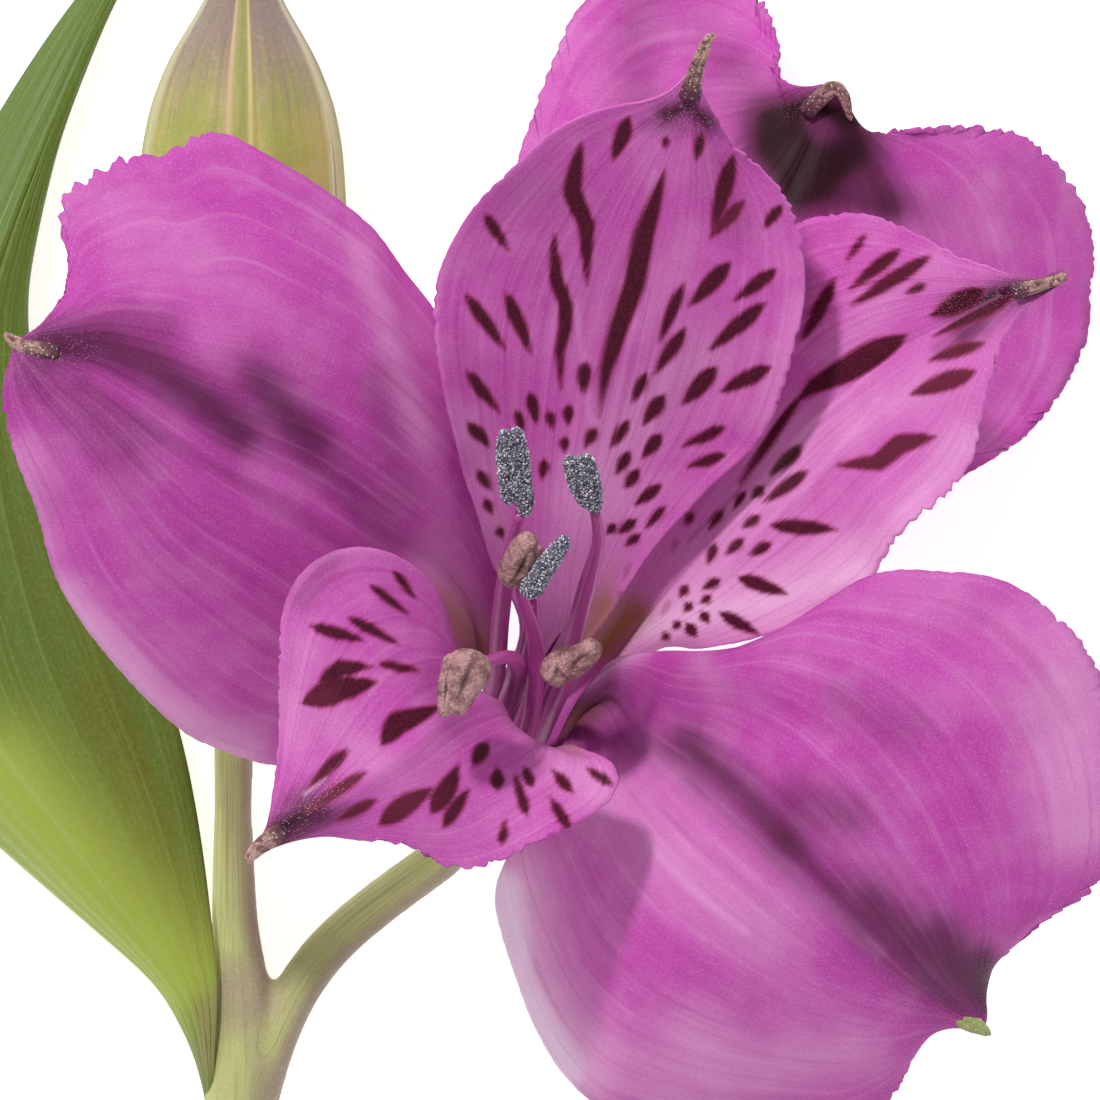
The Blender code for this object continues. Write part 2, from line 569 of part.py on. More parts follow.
def leaves(parent):
    """The leaf at the fork, and two more lower down the stem, each twisted at its base as they grow."""
    midrib = [
        (-17.1, -24.8, 4.4), (-17.8, -22.6, 4.5), (-20.2, -19.5, 5), (-22.6, -16.5, 6), (-25, -13.2, 6.8),
        (-27.5, -10, 7.4), (-29.5, -6, 7.8), (-30.4, -1, 7.8), (-30.4, 4, 7.2), (-29.8, 9, 6.2),
        (-28.6, 13.5, 5), (-27, 17.5, 3.8), (-25.6, 20.6, 3), (-23, 26.2, 1.8), (-20.6, 30.4, 1.2),
    ]
    outer = [
        (-17.35, -25.1, 4.1), (-18, -23.6, 3.6), (-19.2, -22, 3), (-21.6, -19.9, 2.8), (-25.3, -16.8, 3.2), (-30, -12.3, 3.6),
        (-33, -7, 4), (-34.2, -2, 4.2), (-34, 3.5, 4), (-33, 8.5, 3.6), (-31.4, 13.5, 3),
        (-29.4, 18.5, 2.4), (-27.2, 22.4, 1.9), (-24.2, 26.9, 1.3), (-21.2, 30.6, 1),
    ]
    inner = [
        (-16.95, -24.4, 4.8), (-16.75, -21.5, 4.7), (-17.2, -16.5, 4.3), (-17.8, -12.5, 4), (-18.5, -9.2, 3.9),
        (-19.8, -5, 4.2), (-21.8, -0.5, 4.6), (-24, 3.6, 4.8), (-25.5, 7.6, 4.4), (-26.1, 11.8, 3.6),
        (-25.7, 15.5, 3), (-24.8, 19.8, 2.4), (-23.4, 23.6, 1.8), (-21.8, 27.4, 1.4), (-20, 30.4, 1),
    ]
    rails = [[seen(*point) for point in rail] for rail in (outer, midrib, inner)]
    blade("leaf_at_fork", *rails, LEAF_ROWS, LEAF_COLUMNS, LEAF_THICKNESS, LEAF_GREEN, parent, crease=1.5)
    for name, base, heading, length, width in (
        ("leaf_middle", (-13.4, -64, 3), math.radians(28), 62, 13),
        ("leaf_lower", (-16.5, -98, 3), math.radians(144), 54, 11),
    ):
        stem_leaf(name, seen(*base), heading, length, width, parent)


def stem_leaf(name, base, heading, length, width, parent):
    """A lance-shaped leaf with waved edges; it leaves the stem at heading, arches up and comes down."""
    ahead = np.array((math.cos(heading), math.sin(heading), 0))
    aside = np.array((-math.sin(heading), math.cos(heading), 0))
    rails = ([], [], [])
    for share in np.linspace(0, 1, 11):
        height = base[2] + 7.5 * math.sin(math.pi * share) - (base[2] - 0.9) * share
        curl = 5 * share * share
        middle = base + ahead * length * share + aside * curl
        half = width / 2 * max(0.11, math.sin(math.pi * share**0.8) ** 0.8)
        droop = 0.32 * half + 0.5 * math.sin(5 * math.pi * share)
        for rail, across in zip(rails, (half, 0.0, -half)):
            point = middle + aside * across
            rail.append(np.array((point[0], point[1], max(0.75, height - droop * (across != 0)))))
    blade(name, *rails, LEAF_ROWS - 4, LEAF_COLUMNS, LEAF_THICKNESS, LEAF_GREEN, parent, crease=1.5)


def main():
    for old in list(bpy.data.objects):
        bpy.data.objects.remove(old)
    collection = bpy.data.collections.new("alstroemeria_stem")
    bpy.context.scene.collection.children.link(collection)
    whole = bpy.data.objects.new("alstroemeria_stem", None)
    collection.objects.link(whole)
    whole.location = (-ORIGIN[0] * MM, -ORIGIN[1] * MM, 0)
    bpy.context.view_layer.update()
    stem(whole)
    leaves(whole)
    bud(whole)
    flower(whole)


main()
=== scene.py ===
"""The looks of a cut alstroemeria stem: petals, stamens, bud, leaves and stem, on a pale studio floor.

Every x and y below is in millimetres as seen from straight above, and every z is a height above the
table, as in the part's own source. seen() turns such a point into a true one. Marks and patches of
colour are given in twentieths of a millimetre as seen from above, x to the right and y downwards.
"""

import math

import bmesh
import bpy
import numpy as np
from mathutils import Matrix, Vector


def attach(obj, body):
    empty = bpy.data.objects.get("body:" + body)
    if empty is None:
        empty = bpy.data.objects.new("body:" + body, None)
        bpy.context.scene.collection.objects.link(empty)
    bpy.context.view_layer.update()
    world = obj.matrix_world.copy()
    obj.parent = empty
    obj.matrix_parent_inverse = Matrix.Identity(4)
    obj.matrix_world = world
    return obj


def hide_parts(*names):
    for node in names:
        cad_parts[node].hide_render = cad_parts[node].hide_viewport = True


bl_info = {
    "name": "Alstroemeria stem",
    "version": (1, 0, 0),
    "blender": (4, 2, 0),
    "location": "3D View > Sidebar > Alstroemeria",
    "description": "Dresses the packed alstroemeria stem with petals, stamens, bud, leaves and a studio",
    "category": "Object",
}

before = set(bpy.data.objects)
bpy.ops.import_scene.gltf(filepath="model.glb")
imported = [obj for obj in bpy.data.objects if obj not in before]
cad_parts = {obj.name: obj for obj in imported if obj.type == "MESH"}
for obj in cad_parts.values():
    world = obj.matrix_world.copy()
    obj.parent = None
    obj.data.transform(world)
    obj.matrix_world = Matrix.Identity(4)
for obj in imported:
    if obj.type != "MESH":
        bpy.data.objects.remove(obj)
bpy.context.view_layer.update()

MM = 0.001

# The view that x and y are given in, and the part's own origin in it
EYE_HEIGHT = 528.0
TRUE_SCALE_HEIGHT = 28.0
ORIGIN = np.array((-12.8, -61.7, 0.0))
VIEW_WIDTH = 55.0
SPOTS_PER_MM = 20
SPOT_MIDDLE = 550

# Curves, waves and teeth
STEPS_BETWEEN_KNOTS = 40
WAVE_POINTS = 2000
COARSE_TEETH = 0.95
FINE_TEETH = 0.42
FRILL_PITCH = 3.6
STROKE_WIDEST_AT = 0.4
FAR_OUTSIDE = -40.0

# Open flower: the ring in the top of the ovary that its petals and stamens grow from. Each whorl of
# petals has its distance from the flower's axis, the width of a petal's foot, and the rows and columns
# of a petal's sheet.
RING_CENTRE = (-2.85, -11.3, 9.5)
AXIS_LEAN = math.radians(45)
AXIS_HEADING = math.radians(60)
SEAT_DEPTH = 0.5
PETAL_RING = {"outer": (3.05, 3.6), "inner": (2.4, 2.5)}
PETAL_SHEET = {"outer": (360, 52), "inner": (270, 88)}
INNER_TEETH_SHARE = 0.6
HORN_RINGS = 44
HORN_SIDES = 24
STAMEN_RING_RADIUS = 1.4
STALK_RINGS = 60
STALK_SIDES = 20
SAC_RINGS = 44
SAC_SIDES = 48
SAC_FLATNESS = 0.85

# Ovaries: their rings and sides, the number and depth of their ribs, and (share of the length, radius)
OVARY_LENGTH = 6.0
OVARY_SIZE = (40, 96)
OVARY_RIBS = (6, 0.08)
OVARY_PROFILE = ((0, 1.35), (0.05, 1.5), (0.12, 1.85), (0.35, 2.75), (0.65, 3.45), (0.84, 3.8), (0.93, 3.8),
                 (0.98, 3.6), (1, 3.3))
BUD_OVARY_PROFILE = ((0, 1.15), (0.3, 2), (0.7, 2.6), (1, 2.3))

# Stem, whose path runs on into the bud's stalk, and its branch, the flower's stalk. The radii go by share
# of each path's length.
STEM_REST_HEIGHT = 1.72
STEM_LENGTH_BELOW_FORK = 122.0
STEM_RADII = ((0, 0.8, 0.84, 0.865, 0.89, 0.93, 1), (1.8, 1.75, 1.9, 1.75, 1.25, 1.0, 1.15))
BRANCH_RADII = ((0, 0.35, 1), (1.5, 1.2, 1.15))
STEM_RINGS = 420
BRANCH_RINGS = 90
STEM_SIDES = 40
STEM_VOXEL = 0.28
CUT_SLOPE = 0.9
CUT_EASING = (1, 0.8, 0.6, 0.4, 0.2, 0.1)
FORK = (-15.6, -24.4, 2.3)
CROTCH = (-15.4, -22.2, 3.0)
POINTS_AT_A_TIME = 4000
LINE_STRETCH = 12

# Bud
BUD_LENGTH = 29.5
BUD_LEAN = 0.35
BUD_RADIUS = 5.3
BUD_BASE = (-15.6, 2.6, 5.2)
BUD_FOOT = (-15.7, -3.2, 4.7)
BUD_TIP_HEIGHT = 5.75
BUD_TIP_RADIUS = 0.4
BUD_LOWEST = 0.22
BUD_SEAMS = (20, 160, 290)
BUD_SEAM_WIDTH = 0.12
BUD_SHEET = (100, 40)
BUD_PROFILE = ((0, 0.42), (0.08, 0.66), (0.2, 0.88), (0.35, 0.97), (0.5, 1), (0.62, 0.95), (0.7, 0.86),
               (0.78, 0.68), (0.88, 0.34), (0.95, 0.22), (1, 0.17))
FURLED_SIZE = (60, 60)

# Studio, in metres
FLOOR_SIZE = 12.0
FLOOR_DROP = 0.0002
SENSOR_WIDTH = 36.0
LAMP_DISTANCE = 0.6
LAMP_WAY = (-0.28, 0.53, 0.85)
LAMP_AIM_HEIGHT = 0.02


def linear(red, green, blue):
    """A colour given by its 0 to 255 screen values, as the linear values that shaders use."""
    shares = np.array((red, green, blue)) / 255
    return tuple(np.where(shares <= 0.04045, shares / 12.92, ((shares + 0.055) / 1.055) ** 2.4))


def seen(x, y, z):
    """The true place, in millimetres, of a point that shows at x and y from the eye and lies at height z."""
    scale = (EYE_HEIGHT - z) / (EYE_HEIGHT - TRUE_SCALE_HEIGHT)
    return np.array((x * scale, y * scale, z))


def spots(points):
    """Where true points show from above, in twentieths of a millimetre from the view's top left."""
    scale = (EYE_HEIGHT - points[..., 2]) / (EYE_HEIGHT - TRUE_SCALE_HEIGHT)
    across = SPOT_MIDDLE + SPOTS_PER_MM * points[..., 0] / scale
    down = SPOT_MIDDLE - SPOTS_PER_MM * points[..., 1] / scale
    return np.stack((across, down), axis=-1)


def spot_seen(x, y, z):
    """The true place of a spot that lies at height z."""
    return seen((x - SPOT_MIDDLE) / SPOTS_PER_MM, (SPOT_MIDDLE - y) / SPOTS_PER_MM, z)


def flower_axes():
    """The way the flower faces, and two directions square to it: down its back petal, and across."""
    lean, heading = AXIS_LEAN, AXIS_HEADING
    level = math.sin(lean)
    facing = np.array((level * math.cos(heading), level * math.sin(heading), math.cos(lean)))
    back = np.array((math.cos(lean) * math.cos(heading), math.cos(lean) * math.sin(heading), -math.sin(lean)))
    return facing, back, np.cross(facing, back)


def on_ring(azimuth, radius, across=0.0):
    """A point in the ovary's top, on a ring round the flower's axis; azimuth 0 is towards the back petal."""
    facing, back, side = flower_axes()
    angle = math.radians(azimuth)
    outward = math.cos(angle) * back + math.sin(angle) * side
    along = -math.sin(angle) * back + math.cos(angle) * side
    return seen(*RING_CENTRE) - SEAT_DEPTH * facing + radius * outward + across * along


def run_along(path):
    """How far along a path each of its points lies."""
    return np.concatenate(([0.0], np.cumsum(np.linalg.norm(np.diff(path, axis=0), axis=1))))


def smooth_path(points, count):
    """Evenly spaced points along a smooth curve through the given ones."""
    points = np.asarray(points, float)
    padded = np.vstack((2 * points[0] - points[1], points, 2 * points[-1] - points[-2]))
    t = np.linspace(0, 1, STEPS_BETWEEN_KNOTS, endpoint=False)[:, None]
    fine = []
    for before, start, end, after in zip(padded, padded[1:], padded[2:], padded[3:]):
        fine.append(
            start
            + 0.5 * t * (end - before)
            + t * t * (before - 2.5 * start + 2 * end - 0.5 * after)
            + t**3 * (1.5 * (start - end) + 0.5 * (after - before))
        )
    fine = np.vstack((*fine, points[-1:]))
    run = run_along(fine)
    wanted = np.linspace(0, run[-1], count)
    return np.stack([np.interp(wanted, run, fine[:, k]) for k in range(3)], axis=1)


def eased(path, spread):
    """The same path with its small kinks smoothed over spread points; its ends stay."""
    reach = int(3 * spread)
    weights = np.exp(-0.5 * (np.arange(-reach, reach + 1) / spread) ** 2)
    weights /= weights.sum()
    before = 2 * path[0] - path[reach:0:-1]
    after = 2 * path[-1] - path[-2:-reach - 2:-1]
    padded = np.vstack((before, path, after))
    return np.stack([np.convolve(padded[:, k], weights, "valid") for k in range(3)], axis=1)


def unit(vectors):
    length = np.linalg.norm(vectors, axis=-1, keepdims=True)
    return vectors / np.maximum(length, 1e-9)


def ramp(values, start, end):
    """0 up to start, 1 from end on, and a smooth rise between."""
    share = np.clip((values - start) / (end - start), 0, 1)
    return share * share * (3 - 2 * share)


def ring_angles(count):
    """The angles of evenly spaced points round a ring."""
    return np.linspace(0, 2 * np.pi, count, endpoint=False)


def grid_normals(grid):
    """Unit normals of a grid of points; where the grid has no width, the row before it gives them."""
    down, across = np.gradient(grid, axis=(0, 1))
    normals = np.cross(across, down)
    size = np.linalg.norm(normals, axis=-1)
    for i in range(1, len(grid)):
        thin = size[i] < 1e-5
        normals[i][thin] = normals[i - 1][thin]
    return unit(normals)


def add_mesh(name, points, faces):
    """A mesh object in the scene, from points in millimetres."""
    mesh = bpy.data.meshes.new(name)
    mesh.from_pydata(((points - ORIGIN) * MM).tolist(), [], faces)
    made = bpy.data.objects.new(name, mesh)
    bpy.context.scene.collection.objects.link(made)
    return made


def add_piece(name, points, faces, facts, skin, nodes):
    """One shown piece. facts are its point attributes; nodes are the part's nodes that it stands for."""
    piece = add_mesh(name, points, faces)
    mesh = piece.data
    mesh.validate()
    for label, values in facts.items():
        layer = mesh.attributes.new(label, "FLOAT", "POINT")
        layer.data.foreach_set("value", np.ascontiguousarray(values, np.float32).ravel())
    mesh.shade_smooth()
    mesh.materials.append(skin)
    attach(piece, "root")
    if nodes:
        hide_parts(*nodes)


def grid_faces(rows, columns, start=0, flip=False, wrap=False):
    """Quads of a grid of points that are numbered row by row from start."""
    row = np.arange(rows - 1)[:, None]
    column = np.arange(columns if wrap else columns - 1)[None, :]
    after = (column + 1) % columns
    corners = [row * columns + column, row * columns + after, (row + 1) * columns + after,
               (row + 1) * columns + column]
    quads = np.stack([np.broadcast_to(c, (rows - 1, column.size)) for c in corners], axis=-1).reshape(-1, 4)
    return start + (quads[:, ::-1] if flip else quads)


def thick_sheet(name, grid, thickness, facts, under, skin, node):
    """A closed sheet round a grid of points; under says for each of its two faces whether it is the outer."""
    rows, columns = shape = grid.shape[:2]
    half = grid_normals(grid) * (np.broadcast_to(thickness, shape) / 2)[..., None]
    points = np.vstack(((grid + half).reshape(-1, 3), (grid - half).reshape(-1, 3)))
    size = rows * columns
    number = np.arange(size).reshape(rows, columns)
    rim = np.concatenate((number[0, :-1], number[:-1, -1], number[-1, :0:-1], number[:0:-1, 0]))
    after = np.roll(rim, -1)
    edge = np.stack((rim, rim + size, after + size, after), axis=1)
    faces = np.vstack((grid_faces(rows, columns), grid_faces(rows, columns, size, flip=True), edge))
    both = {label: np.tile(np.broadcast_to(values, shape).ravel(), 2) for label, values in facts.items()}
    both["under"] = np.repeat(under, size)
    add_piece(name, points, faces.tolist(), both, skin, [node])


def sheet_grid(left, midrib, right, columns, crease, swell):
    """A curved sheet through its left edge, its midrib and its right edge, and each column's share across."""
    v = np.linspace(-1, 1, columns + 1)
    across = (right - left) / 2
    dip = (left + right) / 2 - midrib
    tangent = np.gradient(midrib, axis=0)
    normal = unit(np.cross(across, tangent))
    along = np.linspace(0, 1, len(midrib))
    bulge = swell * np.sin(np.pi * along)
    grid = (
        midrib[:, None]
        + across[:, None] * v[None, :, None]
        + dip[:, None] * (np.abs(v) ** crease)[None, :, None]
        + normal[:, None] * bulge[:, None, None] * np.sin(np.pi * np.abs(v))[None, :, None]
    )
    return grid, along, v


def waves(length, pitch, chance):
    """A smooth random wave between -1 and 1 along length, with about one swing each pitch."""
    knots = chance.uniform(-1, 1, int(length / pitch) + 3)
    place = np.linspace(0, len(knots) - 1.001, WAVE_POINTS)
    low = place.astype(int)
    share = ramp(place - low, 0, 1)
    return knots[low] * (1 - share) + knots[low + 1] * share


def wave_at(shares, length, pitch, chance):
    """The heights of a smooth random wave at shares of its length."""
    return np.interp(shares, np.linspace(0, 1, WAVE_POINTS), waves(length, pitch, chance))


def teeth_along(edge, pitch, chance):
    """How deep the margin is cut at each point of the edge, from 0 to 1: uneven, sharp little teeth."""
    run = run_along(edge)
    places = np.cumsum(pitch * chance.uniform(0.45, 1.6, int(3 * run[-1] / pitch) + 4)) - pitch
    depths = chance.uniform(0.1, 1.0, len(places)) ** 0.8
    index = np.clip(np.searchsorted(places, run) - 1, 0, len(places) - 2)
    share = (run - places[index]) / (places[index + 1] - places[index])
    return depths[index] * np.where(share < 0.25, 1 - share / 0.25, (share - 0.25) / 0.75)


def cut_margins(grid, v, normals, teeth, toothed, frill, seed):
    """Cuts teeth into both margins where toothed says, and waves the margins in and out of the sheet."""
    chance = np.random.default_rng(seed)
    along = np.linspace(0, 1, len(grid))
    away_from_ends = ramp(along, 0.1, 0.25) * (1 - ramp(along, 0.96, 0.985))
    width = np.linalg.norm(grid[:, -1] - grid[:, 0], axis=1)
    shaped = grid.copy()
    for column, towards in ((0, 1), (len(v) - 1, -1)):
        edge = grid[:, column]
        tangent = unit(np.gradient(edge, axis=0))
        inward = np.cross(normals[:, column], tangent)
        inward *= np.sign(np.sum(inward * (grid[:, column + 6 * towards] - edge), axis=1))[:, None]
        rough = 0.7 * teeth_along(edge, COARSE_TEETH, chance) + 0.3 * teeth_along(edge, FINE_TEETH, chance)
        share = np.clip(0.1 + soft_patches(spots(edge), toothed), 0, 1) * away_from_ends
        cut = np.minimum(teeth * share * rough, 0.2 * width)
        wave = wave_at(along, run_along(edge)[-1], FRILL_PITCH, chance) * frill
        wave *= ramp(along, 0.2, 0.5) * (1 - ramp(along, 0.86, 0.96))
        near = -towards * v
        shaped += inward[:, None] * cut[:, None, None] * ramp(near, 0.86, 1.0)[None, :, None]
        shaped += normals * wave[:, None, None] * (ramp(near, 0.45, 1.0) ** 2)[None, :, None]
    return shaped


def from_line(places, start, end):
    """How far each place is from a straight line, and the share of the line at which it is nearest."""
    run = end - start
    share = np.clip(((places - start) @ run) / (run @ run), 0, 1)
    return np.linalg.norm(places - start - share[..., None] * run, axis=-1), share


def stroke_depth(places, strokes):
    """How far inside the nearest spindle-shaped stroke each place lies, in spots; negative outside."""
    best = np.full(places.shape[:-1], FAR_OUTSIDE)
    for *line, width in strokes:
        line = np.array(line, float)
        run = run_along(line)
        for k, (start, end) in enumerate(zip(line, line[1:])):
            gap, share = from_line(places, start, end)
            t = (run[k] + share * (run[k + 1] - run[k])) / run[-1]
            base_side = 1 - ((STROKE_WIDEST_AT - t) / STROKE_WIDEST_AT) ** 2.4
            tip_side = 1 - ((t - STROKE_WIDEST_AT) / (1 - STROKE_WIDEST_AT)) ** 1.9
            best = np.maximum(best, width / 2 * np.where(t < STROKE_WIDEST_AT, base_side, tip_side) - gap)
    return best


def soft_patches(places, strokes):
    """The strength, from 0 to 1, of soft patches; each is a line of spots, a width and a strength."""
    total = np.zeros(places.shape[:-1])
    for *line, width, strength in strokes:
        line = np.array(line, float)
        gap = np.min([from_line(places, start, end)[0] for start, end in zip(line, line[1:])], axis=0)
        total = 1 - (1 - total) * (1 - strength * np.exp(-((gap / width) ** 2)))
    return total


class Skin:
    """One procedural material, built node by node. Its colour is laid on layer by layer."""

    def __init__(self, name, **fixed):
        self.material = bpy.data.materials.new(name)
        self.material.use_nodes = True
        self.tree = self.material.node_tree
        self.shader = self.tree.nodes["Principled BSDF"]
        for label, value in fixed.items():
            self.shader.inputs[label.replace("_", " ")].default_value = value

    def node(self, kind, inputs, output, **choices):
        """Adds a node, sets or links its inputs, given by name or number, and returns its output."""
        node = self.tree.nodes.new("ShaderNode" + kind)
        for label, value in choices.items():
            setattr(node, label, value)
        for label, value in inputs.items():
            self.feed(node.inputs[label], value)
        return node.outputs[output]

    def feed(self, socket, value):
        """Links value to the socket if it comes from a node, and sets the socket otherwise."""
        if isinstance(value, bpy.types.NodeSocket):
            self.tree.links.new(value, socket)
        elif socket.type == "RGBA" and len(value) == 3:
            socket.default_value = (*value, 1)
        else:
            socket.default_value = value

    def fact(self, name):
        """A point attribute of the piece."""
        return self.node("Attribute", {}, "Fac", attribute_name=name)

    def place(self):
        """The point's own place on the piece, in millimetres."""
        metres = self.node("TexCoord", {}, "Object")
        return self.node("VectorMath", {0: metres, 1: (1 / MM,) * 3}, 0, operation="MULTIPLY")

    def maths(self, operation, first, second=0.0, clamp=False):
        return self.node("Math", {0: first, 1: second, 2: 0.0}, 0, operation=operation, use_clamp=clamp)

    def times(self, first, second):
        return self.maths("MULTIPLY", first, second)

    def plus(self, first, second):
        return self.maths("ADD", first, second)

    def swing(self, value, size):
        """Turns a value that swings round a half into one that swings round 0, size times as wide."""
        return self.times(self.maths("SUBTRACT", value, 0.5), size)

    def noise(self, vector, scale, detail=2.0, rough=0.5):
        inputs = {"Vector": vector, "Scale": scale, "Detail": detail, "Roughness": rough}
        return self.node("TexNoise", inputs, "Fac")

    def streaks(self, x, x_scale, y, y_scale, detail, rough=0.5, z=0.0):
        """Noise over two facts, each with its own scale, so that it is drawn out along the smaller one."""
        vector = self.node("CombineXYZ", {0: self.times(x, x_scale), 1: self.times(y, y_scale), 2: z}, 0)
        return self.noise(vector, 1.0, detail, rough)

    def cells(self, vector, scale):
        return self.node("TexVoronoi", {"Vector": vector, "Scale": scale}, "Distance")

    def between(self, value, start, end, low=0.0, high=1.0):
        """low where value is up to start, high from end on, and a smooth rise between."""
        inputs = dict(enumerate((value, start, end, low, high)))
        return self.node("MapRange", inputs, 0, interpolation_type="SMOOTHSTEP")

    def mix(self, share, first, second):
        return self.node("Mix", {0: share, 6: first, 7: second}, 2, data_type="RGBA")

    def tint(self, colour, value, *span):
        """Lays a colour on, as strongly as value says, or as the span of value that between() is given."""
        share = self.between(value, *span) if span else value
        self.colour = self.mix(share, self.colour, colour)

    def bump(self, *layers):
        """Relief from layers of (height, depth in metres, strength), the finest first."""
        normal = None
        for height, distance, strength in layers:
            inputs = {"Height": height, "Distance": distance, "Strength": strength}
            if normal is not None:
                inputs["Normal"] = normal
            normal = self.node("Bump", inputs, 0)
        self.feed(self.shader.inputs["Normal"], normal)

    def finish(self, *roughness):
        """Gives the shader its colour and, if there is one, the roughness that between() is given."""
        self.feed(self.shader.inputs["Base Color"], self.colour)
        if roughness:
            self.feed(self.shader.inputs["Roughness"], self.between(*roughness))
        return self.material


def colour_setting(name, description, red, green, blue):
    return bpy.props.FloatVectorProperty(
        name=name, description=description, subtype="COLOR", size=3, min=0, max=1,
        default=linear(red, green, blue),
    )


def length_setting(name, description, millimetres, top):
    return bpy.props.FloatProperty(
        name=name, description=description, unit="LENGTH", subtype="DISTANCE", precision=5,
        min=0.0, max=top * MM, default=millimetres * MM,
    )


def share_setting(name, description, default):
    return bpy.props.FloatProperty(
        name=name, description=description, subtype="FACTOR", min=0.0, max=1.0, default=default,
    )


class PetalSettings(bpy.types.PropertyGroup):
    """Sizes and colours of the open flower's petals."""

    body_colour: colour_setting("Petal colour", "Colour of the open petals", 194, 72, 172)
    inner_colour: colour_setting("Inner petal colour", "Colour of the three spotted petals", 200, 86, 178)
    # The pale colour is partly the petals' paler tissue and partly painted light on lobes that are lit or lit
    # through.
    pale_colour: colour_setting("Pale colour", "Colour of the petals' light parts", 238, 180, 222)
    vein_colour: colour_setting("Vein colour", "Colour of the fine veins", 168, 48, 138)
    # The dusk colour darkens the petals' own dark patches, and is also used for painted shadows and painted
    # shade along the creases.
    dusk_colour: colour_setting("Dusk colour", "Colour of the dark patches along the midribs", 74, 26, 50)
    mark_colour: colour_setting("Mark colour", "Colour inside the dark marks", 62, 12, 30)
    mark_edge_colour: colour_setting("Mark edge colour", "Colour at the rim of the dark marks", 140, 30, 72)
    throat_colour: colour_setting("Throat colour", "Colour at the foot of the petals", 150, 110, 45)
    horn_colour: colour_setting("Horn colour", "Colour of the hard little tips", 188, 150, 138)
    thickness: length_setting("Thickness", "Thickness of a petal in its middle", 0.38, 1.0)
    margin: length_setting("Margin thickness", "Thickness of a petal at its margin", 0.14, 1.0)
    teeth: length_setting("Teeth", "Depth of the cuts in the outer petals' margins", 0.85, 1.5)
    frill: length_setting("Frill", "How far the margins wave in and out", 0.3, 1.0)


class StamenSettings(bpy.types.PropertyGroup):
    """Sizes and colours of the stamens and the style."""

    filament_colour: colour_setting("Filament colour", "Colour of the thin stalks", 190, 80, 160)
    wall_colour: colour_setting("Anther colour", "Colour of a closed anther", 186, 143, 142)
    pollen_colour: colour_setting("Pollen colour", "Colour of the dust on burst anthers", 158, 158, 170)
    grain: length_setting("Grain radius", "Radius of one pollen grain", 0.048, 0.2)
    grains: bpy.props.IntProperty(
        name="Grains", description="Number of pollen grains on a burst sac", min=0, max=1500, default=1050,
    )


class GreenSettings(bpy.types.PropertyGroup):
    """Sizes and colours of the stem, the leaves and the bud."""

    stem_colour: colour_setting("Stem colour", "Colour of the stem's lit side", 188, 192, 124)
    # The stem's other side lies away from the lamp: its brownish colour is partly its own blush, partly
    # painted shade.
    stem_shade_colour: colour_setting("Stem blush", "Brownish colour of the stem's other side", 160, 132, 126)
    leaf_colour: colour_setting("Leaf colour", "Colour of the leaves", 90, 120, 38)
    # The leaf's light colour is painted light on the half facing the lamp; the deep colour, besides its
    # streaks, paints shade on the other half.
    leaf_bright_colour: colour_setting("Leaf light colour", "Colour of a leaf's bright half", 168, 186, 70)
    leaf_deep_colour: colour_setting("Leaf deep colour", "Colour of a leaf's dark band", 100, 108, 18)
    bud_colour: colour_setting("Bud colour", "Colour of the closed bud", 176, 166, 84)
    bud_blush_colour: colour_setting("Bud blush", "Greyish mauve near the bud's tip", 140, 116, 118)
    leaf_thickness: length_setting("Leaf thickness", "Thickness of a leaf", 0.4, 1.0)


class StudioSettings(bpy.types.PropertyGroup):
    """The studio's floor and light."""

    floor_colour: colour_setting("Floor colour", "Colour of the floor", 246, 246, 246)
    lamp_power: bpy.props.FloatProperty(
        name="Lamp power", description="Power of the main lamp", unit="POWER", min=0, max=50, default=2.28,
    )
    lamp_size: length_setting("Lamp size", "Side of the square main lamp", 46, 1000)
    sky_strength: bpy.props.FloatProperty(
        name="Fill light", description="Strength of the even light from all round", min=0, max=5, default=0.5,
    )
    floor_glow: share_setting("Floor glow", "Light that the floor gives off itself", 0.7)
